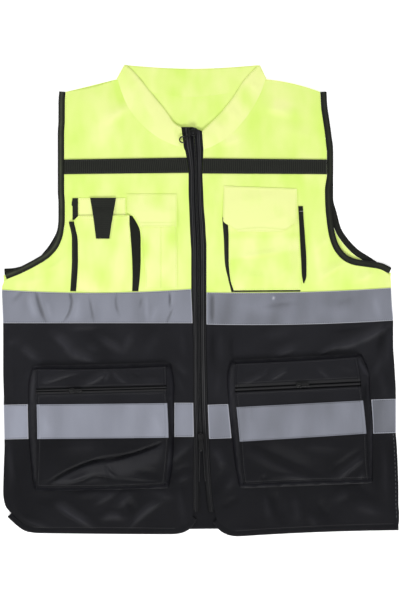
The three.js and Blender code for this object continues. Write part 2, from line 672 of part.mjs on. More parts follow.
// A pull lying along -Y from its bar, which is centred on the origin. `eye` is the inside of the
// opening that the bridge's leg stands in. The far end is a ring or a plain tab.
function pullGeometry({ eyeWidth, eyeLength, rim, reach, ring, tab }) {
  const half = eyeWidth / 2 + rim;
  const eyeEnd = -PULL_ROOT - eyeLength;
  const shoulder = eyeEnd - 0.2;
  const waist = eyeEnd - rim - 0.8;
  const outline = new THREE.Shape();
  outline.moveTo(half, PULL_ROOT);
  outline.lineTo(-half, PULL_ROOT);
  outline.lineTo(-half, shoulder);
  if (ring) {
    const neck = Math.asin((tab / 2) / ring);
    outline.lineTo(-tab / 2, waist);
    outline.absarc(0, -reach, ring, Math.PI / 2 + neck, 2.5 * Math.PI - neck, false);
    outline.lineTo(tab / 2, waist);
    const hole = new THREE.Path();
    hole.absarc(0, -reach, ring - rim, 0, 2 * Math.PI, true);
    outline.holes.push(hole);
  } else {
    outline.lineTo(-tab / 2, waist);
    outline.lineTo(-tab / 2, -reach + TAB_CHAMFER);
    outline.lineTo(-tab / 2 + TAB_CHAMFER, -reach);
    outline.lineTo(tab / 2 - TAB_CHAMFER, -reach);
    outline.lineTo(tab / 2, -reach + TAB_CHAMFER);
    outline.lineTo(tab / 2, waist);
  }
  outline.lineTo(half, shoulder);
  const eye = new THREE.Path();
  eye.moveTo(-eyeWidth / 2, -PULL_ROOT);
  eye.lineTo(eyeWidth / 2, -PULL_ROOT);
  eye.lineTo(eyeWidth / 2, eyeEnd);
  eye.lineTo(-eyeWidth / 2, eyeEnd);
  outline.holes.push(eye);
  const geometry = extrude(outline, PULL_THICKNESS, 8);
  geometry.translate(0, 0, -PULL_THICKNESS / 2);
  return geometry;
}

// Puts a slider and its pull on a zip: the slider turned about Z by `yaw`, the pull by `pullYaw`.
function addSlider({ name, size, place, yaw, pull, pullYaw }) {
  const slider = add(`zip_slider_${name}`, 'black_metal', sliderGeometry(size));
  slider.position.copy(place);
  slider.rotation.z = yaw;
  const tab = add(`zip_pull_${name}`, 'black_metal', pullGeometry(pull));
  tab.position.copy(place).add(point(0, 0, size.plate + size.rise / 2));
  tab.rotation.z = pullYaw;
}

const COIL_TOP = FRONT_TOP + SEAM + COIL_HEIGHT;
const RING_PULL = { eyeWidth: 6.6, eyeLength: 4.4, rim: 1, reach: 21, ring: 5, tab: 3 };
const MAIN_PULL = { eyeWidth: 3.4, eyeLength: 4.4, rim: 1, reach: 20, ring: 0, tab: 5 };
const POCKET_PULL = { eyeWidth: 3, eyeLength: 3.2, rim: 0.9, reach: 15, ring: 0, tab: 4.2 };

// The top slider is tucked under the right end of the collar, its ring lying to the side.
addSlider({
  name: 'top',
  size: { ...MAIN_SLIDER, flange: 0 },
  place: point(-9.9, 254, COIL_TOP + SEAM),
  yaw: -0.3,
  pull: RING_PULL,
  pullYaw: -0.95,
});
addSlider({
  name: 'lower',
  size: MAIN_SLIDER,
  place: point(0.6, -206, COIL_TOP + SEAM),
  yaw: 0,
  pull: MAIN_PULL,
  pullYaw: 0,
});

// ---------------------------------------------------------------- pockets

// A gusset stands out in its middle by a share of its reach, and that much over the straight.
const GUSSET_SWELL = 0.12;
const GUSSET_LIFT = 0.8 * CLOTH;

// A strip of cloth from the panel up to the edge of a raised pocket face. `foot` is its line on
// the panel and `rim` the face's edge, point for point.
function gusset(rim, foot, looped = false) {
  const outer = [[], [], []];
  const inner = [[], [], []];
  rim.forEach((edge, i) => {
    const base = foot[i];
    const away = point(base.x - edge.x, base.y - edge.y, 0);
    const reach = away.length();
    away.normalize();
    const rimPoint = edge.clone().addScaledVector(away, SEAM);
    const middle = base.clone().lerp(rimPoint, 0.5).addScaledVector(away, reach * GUSSET_SWELL);
    middle.z += GUSSET_LIFT;
    const cloth = Math.min(TRIM, reach * 0.4);
    outer[0].push(base);
    outer[1].push(middle);
    outer[2].push(rimPoint.clone().setZ(edge.z + TRIM));
    inner[0].push(base.clone().addScaledVector(away, -cloth));
    inner[1].push(middle.clone().addScaledVector(away, -cloth * 0.7)
      .setZ(Math.max(middle.z - TRIM * 0.8, base.z)));
    inner[2].push(rimPoint);
  });
  return wall(outer, inner, looped);
}

const onPanel = (front, x, y) => point(x, y, heightOn(front.top, x, y) + SEAM);

// ---------------------------------------------------------------- hip pockets

// Face from its top edge down, with the line of the gusset on the panel beside it.
const HIP_COLUMNS = [0, 0.04, 0.12, 0.22, 0.34, 0.46, 0.58, 0.7, 0.82, 0.93, 1];
const HIP_TABLE = 'inX inY outX outY bow footInX footInY footOutX footOutY steps';
const HIP_RIGHT = table(HIP_TABLE, [
  [-52, -99, -247, -103, -2, -45, -93, -251, -98, 1],
  [-51, -115, -247, -118, 0, -41, -112, -258, -118, 1],
  [-51, -127, -247, -132, 0, -39, -127, -259, -132, 1],
  [-51, -136, -247, -141, 0, -39, -137, -259, -142, 1],
  [-50, -154, -246, -156, 0, -40, -154, -259, -157, 1],
  [-48, -206, -245, -208, 0, -40, -206, -258, -208, 3],
  [-51, -250, -246, -253, 0, -42, -250, -254, -253, 3],
  [-54, -277, -247, -281, -2, -48, -283, -250, -287, 2],
]);
const HIP_LEFT = table(HIP_TABLE, [
  [53, -95, 235, -85, -1, 46, -90, 242, -80, 1],
  [52, -112, 238, -103, 0, 40, -110, 252, -101, 1],
  [52, -126, 240, -117, 0, 40, -126, 255, -116, 1],
  [52, -138, 241, -129, 0, 41, -138, 255, -129, 1],
  [54, -160, 244, -150, 0, 43, -159, 256, -149, 1],
  [59, -212, 249, -200, 0, 48, -210, 259, -200, 3],
  [62, -250, 251, -243, 0, 52, -248, 259, -243, 3],
  [65, -276, 253, -269, 1, 59, -283, 259, -275, 2],
]);
const HIP_ZIP_ROWS = [2, 3];     // rows of the face that bound its zip
const HIP_TAPE_ROWS = [4, 7];    // and its reflective tape
const HIP_BULGE = 2.5;
const COIL_RIDGE = 1.2;
const SLIDER_LIFT = 0.6;         // pocket sliders over the ridge of the coil
const BAND_STOP = 0.7;           // the lower band ends this far from a gusset

// Folds in the pocket faces.
const HIP_CREASES = table('x1 y1 x2 y2 width height', [
  [-232, -277, -194, -258, 20, 3.2],
  [-194, -258, -120, -243, 20, 3.6],
  [-120, -243, -62, -222, 18, 2.8],
  [-206, -274, -160, -266, 12, 1.6],
  [-190, -108, -150, -120, 14, 1.6],
  [-100, -106, -76, -122, 14, 1.6],
  [128, -118, 156, -98, 14, 1.4],
  [186, -112, 214, -96, 14, 1.4],
  [96, -228, 196, -262, 26, 1.6],
]);

function makeHipPocket(front, stations, sliderX) {
  const name = `hip_pocket_${front.name}`;
  const rows = subdivide(stations);
  const top = stations[0].inY;
  const bottom = stations.at(-1).inY;
  const faceHeight = ({ x, y, u }) => {
    const down = THREE.MathUtils.clamp((top - y) / (top - bottom), 0, 1);
    const crown = Math.sin(Math.PI * u) * Math.sin(Math.PI * down);
    const inside = smooth(4 * Math.min(u, 1 - u));
    return FRONT_TOP + HIP_DEPTH + HIP_BULGE * crown + inside * creaseHeight(HIP_CREASES, x, y);
  };
  const face = raise(layOut(rows, HIP_COLUMNS), faceHeight);
  const [zipFrom, zipTo] = HIP_ZIP_ROWS;
  const [upperPart, rest] = cutAt(face, zipFrom);
  const [zipRows, lowerPart] = cutAt(rest, zipTo - zipFrom);
  add(`${name}_top`, 'black_cloth', sheetOn(upperPart, CLOTH));
  add(`${name}_face`, 'black_cloth', sheetOn(lowerPart, CLOTH));

  // The zip strip has its coil as a ridge along the middle.
  const across = (t, lift) => zipRows[0].map((p, i) => (
    p.clone().lerp(zipRows[1][i], t).add(point(0, 0, lift))));
  const strips = [[0, 0], [0.32, 0], [0.42, COIL_RIDGE], [0.58, COIL_RIDGE], [0.68, 0], [1, 0]];
  const ridge = strips.map(([t, lift]) => across(t, lift));
  add(`${name}_zip`, 'zip', sheetOn(ridge, CLOTH));
  const tapeRows = face.slice(HIP_TAPE_ROWS[0], HIP_TAPE_ROWS[1] + 1);
  add(`${name}_tape`, 'tape', sheetOn(shift(tapeRows, CLOTH + SEAM), TAPE));

  const foot = (row, side) => onPanel(front, row[`foot${side}X`], row[`foot${side}Y`]);
  const [first, last] = [rows[0], rows.at(-1)];
  const along = (row) => HIP_COLUMNS.slice(1, -1).map((u) => onPanel(front,
    mix(row.footInX, row.footOutX, u), mix(row.footInY, row.footOutY, u)));
  const rim = [...face.map((row) => row[0]), ...face.at(-1).slice(1, -1),
    ...face.map((row) => row.at(-1)).reverse(), ...face[0].slice(1, -1).reverse()];
  const base = [...rows.map((row) => foot(row, 'In')), ...along(last),
    ...rows.map((row) => foot(row, 'Out')).reverse(), ...along(first).reverse()];
  add(`${name}_gusset`, 'black_cloth', gusset(rim, base, true));

  // The slider and its pull lie along the zip.
  const ridgeTop = shift([ridge[2], ridge[3]], CLOTH);
  const y = readRow(ridge[2], ridge[3], sliderX);
  const z = heightOn(ridgeTop, sliderX, y) + SLIDER_LIFT;
  const inner = ridge[2][0];
  const outer = ridge[2].at(-1);
  const slope = Math.atan((outer.y - inner.y) / (outer.x - inner.x));
  addSlider({
    name: `hip_${front.name}`,
    size: POCKET_SLIDER,
    place: point(sliderX, y, z),
    yaw: slope + Math.PI / 2,
    pull: POCKET_PULL,
    pullYaw: slope + Math.PI / 2,
  });
}

// Middle between two rows of points at a given x.
function readRow(a, b, x) {
  const i = a.findIndex((p, k) => k > 0 && (x - a[k - 1].x) * (x - p.x) <= 0);
  const t = (x - a[i - 1].x) / (a[i].x - a[i - 1].x);
  return (mix(a[i - 1].y, a[i].y, t) + mix(b[i - 1].y, b[i].y, t)) / 2;
}

// The lower band on each side of a hip pocket.
function makeLowerBand(front, stations) {
  const [from, to] = front.marks.lowerBand;
  const rows = front.rows.slice(from, to + 1);
  // Share of a row's width at which it meets the foot of a gusset, or stops before it.
  const share = (row, foot, u, gap) => {
    const feet = stations.map((station) => ({ y: station[`${foot}Y`], x: station[`${foot}X`] }));
    const x = readColumn(feet, 'x', mix(row.inY, row.outY, u));
    return (x + gap * Math.sign(row.outX) - row.inX) / (row.outX - row.inX);
  };
  const piece = (name, start, end) => {
    const inside = FRONT_COLUMNS.filter((u) => (
      rows.every((row) => u > start(row) + 0.004 && u < end(row) - 0.004)));
    const plan = rows.map((row) => layOut([row], [start(row), ...inside, end(row)])[0]);
    const underside = raise(plan, (p) => frontUnderside(p) + CLOTH + SEAM);
    add(name, 'tape', sheetOn(underside, TAPE));
  };
  const innerEnd = (row) => share(row, 'footIn', 0.1, -BAND_STOP);
  const outerStart = (row) => share(row, 'footOut', 0.9, BAND_STOP);
  piece(`lower_band_${front.name}_inner`, () => 0, innerEnd);
  piece(`lower_band_${front.name}_outer`, outerStart, () => 1);
}

makeLowerBand(right, HIP_RIGHT);
makeLowerBand(left, HIP_LEFT);
makeHipPocket(right, HIP_RIGHT, -193);
makeHipPocket(left, HIP_LEFT, 148);

// ---------------------------------------------------------------- chest pockets

const ON_FRONT = FRONT_TOP + SEAM;
const PHONE_LEVEL = FRONT_TOP + PHONE_DEPTH;
const CHEST_LEVEL = FRONT_TOP + CHEST_DEPTH;

const FLAT_TABLE = 'inX inY outX outY bow z steps';
const heightOfRow = ({ row }) => row.z;

// Phone pocket: back piece, face between two gussets, strap over the mouth, side loop.
const PHONE_BACK = table(FLAT_TABLE, [
  [-113, 154, -183.5, 154, 0, ON_FRONT, 1], [-113, 100, -183.5, 100, 0, ON_FRONT, 1],
]);
const PHONE_FACE = table('inX inY outX outY bow bulge footInX footOutX z steps', [
  [-107, 128, -184, 127, 0, 0, -103, -198, PHONE_LEVEL, 1],
  [-107, 118, -190, 119, 0, 0, -97, -198, PHONE_LEVEL, 1],
  [-106, 104, -187, 105, 0, 0, -91, -195, PHONE_LEVEL, 1],
  [-105, 91, -184.5, 91, 0, 0, -90, -193.5, PHONE_LEVEL, 1],
  [-103, 61, -184, 61, 0, 1.4, -90, -193.5, PHONE_LEVEL, 2],
  [-102.5, 38, -185, 38, 0, 1.2, -91, -194.5, PHONE_LEVEL - 0.4, 1],
  [-103, 14, -187, 14, -1.5, 0, -93.5, -196, ON_FRONT + 0.2, 1],
]);
const PHONE_COLUMNS = [0, 0.14, 0.28, 0.5, 0.72, 0.86, 1];
const STRAP_LEVEL = PHONE_LEVEL + CLOTH + SEAM;
const STRAP = table(FLAT_TABLE, [
  [-127, 154.5, -166, 154.5, 0, ON_FRONT + TRIM + SEAM, 1],
  [-129, 143, -164, 143, 0, ON_FRONT + TRIM + SEAM, 1],
  [-131, 131, -162, 131, 0, STRAP_LEVEL, 1],
  [-133.5, 117, -160, 117, 0, STRAP_LEVEL, 1],
  [-137, 93, -157, 93, 0, STRAP_LEVEL, 1],
]);
const PHONE_LOOP = table(FLAT_TABLE, [
  [-184.3, 154, -192.5, 154, 0, ON_FRONT, 1], [-184.3, 144, -194, 144, 0, ON_FRONT, 1],
  [-184.3, 141, -192.5, 141, 0, ON_FRONT, 1], [-184.3, 123, -192.5, 121, 0, ON_FRONT, 1],
]);

// Pen pocket: a flat body under a flap.
const PEN_BODY = table(FLAT_TABLE, [
  [-36, 118, -89, 118, 0, ON_FRONT, 1], [-36, 70, -86, 70, 0, ON_FRONT + 0.6, 1],
  [-35.5, 41, -83, 41, 0, ON_FRONT + 0.5, 1], [-35.5, 18, -83, 17.5, 0, ON_FRONT, 1],
]);
const PEN_FLAP_LEVEL = ON_FRONT + TRIM + SEAM + 0.2;
const PEN_FLAP = table(FLAT_TABLE, [
  [-36, 160, -111, 160, 0, ON_FRONT, 1], [-36, 146, -111, 147, 0, ON_FRONT + 0.8, 1],
  [-36, 133, -110.5, 134, 0, PEN_FLAP_LEVEL, 1], [-36, 124, -99, 125, 0, PEN_FLAP_LEVEL, 1],
  [-36, 111, -90, 111, 0, PEN_FLAP_LEVEL, 1],
]);

// Flap pocket: a body raised by a gusset on its zip side and below, a flap, and a pen slot.
const CHEST_BODY = table('inX inY outX outY bow z footX footY steps', [
  [42, 124, 147, 123, 0, CHEST_LEVEL, 33, 125, 1],
  [41.5, 117, 147.5, 117, 0, CHEST_LEVEL, 33, 120, 1],
  [42.5, 93, 148.2, 93, 0, CHEST_LEVEL, 35, 94, 1],
  [42.5, 62, 149.6, 62, 0, CHEST_LEVEL, 36.5, 58, 1],
  [45, 32, 151, 32, 0, CHEST_LEVEL, 41.5, 33, 1],
  [50, 17.5, 150.5, 18, 0, CHEST_LEVEL - 1, 46.5, 14, 1],
]);
const CHEST_COLUMNS = [0, 0.15, 0.35, 0.55, 0.75, 0.88, 1];
const CHEST_FOOT_END = { x: 150, y: 15.2 };    // outer end of the foot below the body
const CHEST_FLAP = table('inX inY outX outY bow rise steps', [
  [35, 172, 145, 168, 0, 0, 1], [34.8, 160, 145, 157, 0, 0.5, 1],
  [34.6, 147, 144.8, 145, 0, 1, 1], [34.2, 120, 144, 118, 0, 1, 1],
  [45, 111, 135, 111, 0, 1, 1], [57, 103, 123, 103, 0, 1, 1],
]);
const CHEST_FLAP_COLUMNS = [0, 0.25, 0.5, 0.75, 0.9, 1];
const FLAP_PLAY = 0.45;          // the flap's underside over the body
const PEN_SLOT = table(FLAT_TABLE, [
  [147, 142, 154, 142, 0, ON_FRONT, 1], [148.4, 118, 155.6, 118, 0, ON_FRONT, 1],
  [149.8, 90, 157.6, 90, 0, ON_FRONT, 1], [151.4, 60, 159.3, 60, 0, ON_FRONT, 1],
  [152.6, 38, 159.4, 38, 0, ON_FRONT, 1], [154.6, 26, 156, 26, 0, ON_FRONT, 1],
]);

// The body's outer edge is sewn down to the panel: it comes down between these two places.
const CHEST_HIGH_X = 134;
const CHEST_LOW_X = 147;

function chestLevel(x, level) {
  const down = (x - CHEST_HIGH_X) / (CHEST_LOW_X - CHEST_HIGH_X);
  return mix(level, ON_FRONT, THREE.MathUtils.clamp(down, 0, 1));
}

function makeChestPockets() {
  const flat = (name, finish, stations, columns) => add(name, finish,
    sheetOn(raise(layOut(subdivide(stations), columns), heightOfRow), TRIM));
  flat('phone_pocket_back', 'neon', PHONE_BACK, evenly(2));
  flat('phone_pocket_strap', 'webbing', STRAP, evenly(2));
  flat('phone_pocket_loop', 'webbing', PHONE_LOOP, evenly(1));
  flat('pen_pocket_body', 'neon', PEN_BODY, evenly(4));
  flat('pen_pocket_flap', 'neon', PEN_FLAP, evenly(4));
  flat('pen_slot_strip', 'binding', PEN_SLOT, evenly(1));

  const phoneRows = subdivide(PHONE_FACE);
  const phone = raise(layOut(phoneRows, PHONE_COLUMNS),
    ({ u, row }) => row.z + row.bulge * Math.sin(Math.PI * u));
  add('phone_pocket_face', 'neon', sheetOn(phone, CLOTH));
  const phoneFoot = (column) => phoneRows.map((row, i) => (
    point(row[column], mix(row.inY, row.outY, 0.5) - (i === 0 ? 1 : 0), ON_FRONT)));
  add('phone_pocket_gusset_inner', 'binding',
    gusset(phone.map((row) => row[0]), phoneFoot('footInX')));
  add('phone_pocket_gusset_outer', 'binding',
    gusset(phone.slice(1).map((row) => row.at(-1)), phoneFoot('footOutX').slice(1)));

  const chestRows = subdivide(CHEST_BODY);
  const chest = raise(layOut(chestRows, CHEST_COLUMNS), ({ x, row }) => chestLevel(x, row.z));
  add('chest_pocket_body', 'neon', sheetOn(chest, CLOTH));
  const corner = CHEST_BODY.at(-1);
  const below = CHEST_COLUMNS.slice(1).map((u) => point(
    mix(corner.footX, CHEST_FOOT_END.x, u),
    mix(corner.footY, CHEST_FOOT_END.y, u),
    ON_FRONT,
  ));
  add('chest_pocket_gusset', 'binding', gusset(
    [...chest.map((row) => row[0]), ...chest.at(-1).slice(1)],
    [...chestRows.map((row) => point(row.footX, row.footY, ON_FRONT)), ...below],
  ));
  const overBody = ({ x, row }) => mix(ON_FRONT,
    chestLevel(x, CHEST_LEVEL) + CLOTH + FLAP_PLAY, row.rise);
  add('chest_pocket_flap', 'neon', sheetOn(
    raise(layOut(subdivide(CHEST_FLAP), CHEST_FLAP_COLUMNS), overBody), CLOTH));
}

makeChestPockets();

export default vest;
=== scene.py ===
# %% [markdown]
# # A safety vest, laid flat
#
# The vest lies on its back, zipped up, on a white table. Its maker cut it from two knitted
# cloths, a bright yellow one for the chest and a black one below, and sewed on reflective bands,
# ribbed webbing, a stand collar, bound armholes, a two-way zip and six pockets.
#
# The solids of the frame hold every piece at its real size and height. Here each cloth gets a
# finer shell on the same form, with its folds, seams and stitches. Lengths are in millimetres,
# and a mesh is scaled to metres when it is made. +Y points to the collar.

# %% The frame
import math

import bpy
import numpy as np
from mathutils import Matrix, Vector


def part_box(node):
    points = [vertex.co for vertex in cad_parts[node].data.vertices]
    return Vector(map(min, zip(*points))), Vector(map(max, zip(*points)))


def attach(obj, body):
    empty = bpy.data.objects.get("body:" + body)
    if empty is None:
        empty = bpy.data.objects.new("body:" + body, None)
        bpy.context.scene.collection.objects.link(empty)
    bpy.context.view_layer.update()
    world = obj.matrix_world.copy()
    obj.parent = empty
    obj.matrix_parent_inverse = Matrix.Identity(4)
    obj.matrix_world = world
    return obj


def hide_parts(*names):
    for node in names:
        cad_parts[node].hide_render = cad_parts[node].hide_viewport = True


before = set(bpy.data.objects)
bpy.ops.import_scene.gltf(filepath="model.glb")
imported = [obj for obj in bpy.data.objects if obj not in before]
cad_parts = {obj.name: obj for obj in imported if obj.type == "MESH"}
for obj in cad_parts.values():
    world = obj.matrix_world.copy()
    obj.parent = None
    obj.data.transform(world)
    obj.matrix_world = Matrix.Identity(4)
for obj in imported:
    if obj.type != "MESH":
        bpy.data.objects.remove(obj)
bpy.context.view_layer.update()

MM = 0.001
BODY = "vest"


def underside(node):
    """Height of a solid's lowest point, in millimetres."""
    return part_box(node)[0].z / MM


SEAM = 0.3                   # play between pieces that are sewn together
FRONT_TOP = underside("chest_webbing_left") - SEAM
HIP_LEVEL = underside("hip_pocket_left_tape") - 1.5
print("front panels lie at", round(FRONT_TOP, 2), "mm, hip pocket faces at", round(HIP_LEVEL, 2))

# %% [markdown]
# ## The table and the light
#
# The vest lies on a white sheet below the camera, in the light of large soft boxes. Black cloth
# shows its folds only by what it reflects, so the strongest box stands half way up at the hem's
# end: slopes that face it light up and the others darken. The rest fill the shadows. The lens is
# long, which keeps the thick pockets from leaning outwards.

# %% Camera, table and light
VIEW_LENGTH = 0.905          # metres of table from the top of the view to its bottom
CAMERA_HEIGHT = 5.0

scene = bpy.context.scene
scene.view_settings.view_transform = "Standard"

camera = bpy.data.objects.new("camera", bpy.data.cameras.new("camera"))
camera.location = (0, 0, CAMERA_HEIGHT)
camera.data.lens = camera.data.sensor_width * CAMERA_HEIGHT / VIEW_LENGTH
camera.data.clip_end = 20
scene.collection.objects.link(camera)
scene.camera = camera


def soft_box(name, place, width, length, power):
    """A rectangular light that looks at the middle of the vest."""
    data = bpy.data.lights.new(name, "AREA")
    data.shape = "RECTANGLE"
    data.size, data.size_y = width, length
    data.energy = power
    light = bpy.data.objects.new(name, data)
    light.location = place
    light.rotation_euler = (-Vector(place)).to_track_quat("-Z", "Y").to_euler()
    scene.collection.objects.link(light)


soft_box("collar_side", (0.4, 3.4, 4.0), 2.0, 1.2, 58)
soft_box("hem_side", (0.6, -2.6, 2.2), 2.0, 1.0, 88)
soft_box("left_side", (-2.7, 0.2, 1.8), 1.6, 1.2, 34)

world = bpy.data.worlds.new("studio")
world.use_nodes = True
background = world.node_tree.nodes["Background"].inputs
background["Color"].default_value = (1, 1, 1, 1)
background["Strength"].default_value = 0.36
scene.world = world
print("lens:", round(camera.data.lens), "mm,", len(bpy.data.lights), "soft boxes")

# %% [markdown]
# ## Curves and grids
#
# A cloth panel is a grid of points: rows run from its inner edge, at the neck and the zip, to its
# outer edge, and a short table holds the two ends of each main row. A monotone cubic through the
# table gives the rows between them. It never swings past a value, so a straight edge stays
# straight beside a curved one, which an ordinary spline can't promise.

# %% Reading tables smoothly


def smooth(t):
    """The soft step 3t^2 - 2t^3, held at 0 and 1 outside."""
    t = np.clip(t, 0, 1)
    return t * t * (3 - 2 * t)


def mix(first, second, share):
    """A share of the second value and the rest of the first."""
    return first * (1 - share) + second * share


def through(stations, values, q):
    """A monotone cubic through (stations, values), read at q.

    The slope at each station is the weighted harmonic mean of the slopes beside it, and 0 where
    they differ in sign. Hermite's four cubics then join the stations.
    """
    x = np.asarray(stations, float)
    y = np.asarray(values, float).reshape(len(x), -1)
    step = np.diff(x)[:, None]
    slope = np.diff(y, axis=0) / step
    tangent = np.zeros_like(y)
    tangent[0], tangent[-1] = slope[0], slope[-1]
    before, after = 2 * step[1:] + step[:-1], step[1:] + 2 * step[:-1]
    with np.errstate(divide="ignore", invalid="ignore"):
        mean = (before + after) / (before / slope[:-1] + after / slope[1:])
    tangent[1:-1] = np.where(slope[:-1] * slope[1:] > 0, mean, 0)
    i = np.clip(np.searchsorted(x, q, side="right") - 1, 0, len(x) - 2)
    width = step[i]
    t = (np.asarray(q, float)[:, None] - x[i][:, None]) / width
    read = ((1 + 2 * t) * (1 - t) ** 2 * y[i] + t * (1 - t) ** 2 * width * tangent[i]
            + t * t * (3 - 2 * t) * y[i + 1] + t * t * (t - 1) * width * tangent[i + 1])
    return read.reshape(len(t), *np.shape(values)[1:])


def full_rows(names, rows):
    """A table as an array. Its rows may leave out their last zeros."""
    count = len(names.split())
    return np.array([(*row, *[0] * (count - len(row))) for row in rows], float)


def finer(names, rows, gap, near_ends=()):
    """A table with rows at most `gap` apart at their ends, and more rows at some distances from
    the first and the last.

    Returns the columns by name and the place that each row of the table has among them.
    """
    rows = full_rows(names, rows)
    column = {name: i for i, name in enumerate(names.split())}
    ends = rows[:, [column[c] for c in ("in_x", "in_y", "out_x", "out_y")]]
    jump = np.abs(np.diff(ends, axis=0)).max(axis=1)
    steps = np.maximum(1, np.ceil(jump / gap)).astype(int)
    main = np.arange(len(rows))
    q = np.interp(np.arange(steps.sum() + 1), np.concatenate([[0], np.cumsum(steps)]), main)
    near = np.asarray(near_ends, float)
    q = np.unique(np.concatenate([q, near / jump[0], main[-1] - near / jump[-1]]))
    read = through(main, rows, q)
    return {name: read[:, i] for name, i in column.items()}, np.searchsorted(q, main - 1e-9)


def lay_out(table, u):
    """The plan of a panel: point (r, c) is at share u of the way along row r, and a row's bow
    adds 4u(1 - u) of itself to its middle. Returns x and y, both rows by columns."""
    u = np.asarray(u, float)
    pick = {name: column[:, None] for name, column in table.items()}
    y = mix(pick["in_y"], pick["out_y"], u) + pick.get("bow", 0) * 4 * u * (1 - u)
    return mix(pick["in_x"], pick["out_x"], u), y


def grid_of(x, y, z):
    """Three arrays stacked into points."""
    return np.stack(np.broadcast_arrays(x, y, z), axis=-1).astype(float)


def shifted(grid, dy=0.0, dz=0.0):
    """Points moved by dy and dz."""
    return grid + np.array([0, dy, dz])


def plan(grid):
    """x and y of a grid's points."""
    return grid[..., 0], grid[..., 1]


def unit(vectors):
    """Vectors of length 1 in the same directions."""
    return vectors / np.linalg.norm(vectors, axis=-1, keepdims=True)


print("smooth half way:", float(smooth(0.5)))

# %% [markdown]
# Cloth has two faces and an edge all round, and a shell gives it both: the upper grid, the lower
# grid a cloth's thickness below it, and a rim between them. A binding, a piping or a zip's coil
# is a profile carried along a path instead. Both are worked out as whole arrays, and the mesh
# takes them in one go.

# %% Meshes from grids


def quads_of(rows, columns, round_rows=False, round_columns=False):
    """Corner numbers of the faces between the points of a grid."""
    r = np.arange(rows if round_rows else rows - 1)[:, None]
    c = np.arange(columns if round_columns else columns - 1)[None, :]
    r2, c2 = (r + 1) % rows, (c + 1) % columns
    corners = [r * columns + c, r * columns + c2, r2 * columns + c2, r2 * columns + c]
    return np.stack(np.broadcast_arrays(*corners), axis=-1).reshape(-1, 4)


def volume_of(points, quads):
    """Six times the signed volume that a closed shell holds."""
    a, b, c, d = (points[quads[:, k]] for k in range(4))
    return float((a * np.cross(b, c)).sum() + (a * np.cross(c, d)).sum())


def put_mesh(name, points, quads, material, uv=None, tone=None, sharp=50):
    """A mesh object from arrays: points in millimetres, faces of four corners (a repeated last
    corner makes a triangle), its UV per point and the point attribute `tone`."""
    if volume_of(points, quads) < 0:
        quads = quads[:, [1, 0, 3, 2]]
    triangle = quads[:, 3] == quads[:, 2]
    sides = np.where(triangle, 3, 4)
    keep = np.ones_like(quads, bool)
    keep[triangle, 3] = False
    loops = quads[keep]
    mesh = bpy.data.meshes.new(name)
    mesh.vertices.add(len(points))
    mesh.vertices.foreach_set("co", (points * MM).astype(np.float32).ravel())
    mesh.loops.add(len(loops))
    mesh.loops.foreach_set("vertex_index", loops.astype(np.int32))
    mesh.polygons.add(len(quads))
    mesh.polygons.foreach_set("loop_start", (np.cumsum(sides) - sides).astype(np.int32))
    mesh.update(calc_edges=True)
    mesh.validate()
    mesh.shade_smooth()
    mesh.set_sharp_from_angle(angle=math.radians(sharp))
    if uv is not None:
        layer = mesh.uv_layers.new(name="cloth")
        layer.data.foreach_set("uv", uv[loops].astype(np.float32).ravel())
    if tone is not None:
        shade = mesh.attributes.new("tone", "FLOAT", "POINT")
        shade.data.foreach_set("value", np.asarray(tone, np.float32))
    mesh.materials.append(material)
    piece = bpy.data.objects.new(name, mesh)
    scene.collection.objects.link(piece)
    return piece


def shell_parts(upper, lower, looped=False):
    """Points and faces of a wall between two grids. `looped` joins the last column to the
    first."""
    rows, columns = upper.shape[:2]
    count = rows * columns
    faces = quads_of(rows, columns, round_columns=looped)
    parts = [faces, faces[:, ::-1] + count]
    number = np.arange(count).reshape(rows, columns)
    rims = [number[0], number[-1, ::-1]]
    if not looped:
        rims = [np.concatenate([number[0, :-1], number[:-1, -1], number[-1, :0:-1],
                                number[:0:-1, 0]])]
    for line in rims:
        following = np.roll(line, -1)
        parts.append(np.stack([line, line + count, following + count, following], axis=-1))
    points = np.concatenate([upper.reshape(-1, 3), lower.reshape(-1, 3)])
    return points, np.concatenate(parts)


def carried(path, profile, up=(0, 0, 1), closed=False):
    """A closed profile carried along a path: at each point the ring is
    p + across * side + above * up, where side is the path's direction turned level.

    `profile` holds (across, above), one for the whole path or one for each of its points.
    """
    path = np.asarray(path, float)
    profile = np.broadcast_to(profile, (len(path), *np.shape(profile)[-2:]))
    if closed:
        run = np.roll(path, -1, axis=0) - np.roll(path, 1, axis=0)
    else:
        run = np.gradient(path, axis=0)
    side = unit(np.cross(run, up))
    above = unit(np.cross(side, run))
    return path[:, None] + profile[..., :1] * side[:, None] + profile[..., 1:] * above[:, None]


def tube_parts(rings, closed=False):
    """Points and faces of rings joined along a path, with a pole in the middle of each end."""
    count, sides = rings.shape[:2]
    points = rings.reshape(-1, 3)
    faces = [quads_of(count, sides, round_rows=closed, round_columns=True)]
    if not closed:
        poles = np.stack([rings[0].mean(axis=0), rings[-1].mean(axis=0)])
        points = np.concatenate([points, poles])
        number = np.arange(count * sides).reshape(count, sides)
        for pole, line in enumerate((number[0, ::-1], number[-1]), start=count * sides):
            middle = np.full(sides, pole)
            faces.append(np.stack([line, np.roll(line, -1), middle, middle], axis=-1))
    return points, np.concatenate(faces)


def joined(parts):
    """Several (points, faces) as one."""
    offset = np.cumsum([0] + [len(points) for points, _ in parts[:-1]])
    points = np.concatenate([points for points, _ in parts])
    return points, np.concatenate([faces + n for (_, faces), n in zip(parts, offset)])


def lengths(points):
    """Distance along a line of points."""
    return np.concatenate([[0], np.cumsum(np.linalg.norm(np.diff(points, axis=0), axis=1))])


def respaced(points, gap):
    """A line's points put evenly, about `gap` apart."""
    run = lengths(points)
    q = np.linspace(0, run[-1], max(2, round(run[-1] / gap) + 1))
    return np.stack([np.interp(q, run, points[:, k]) for k in range(3)], axis=-1)


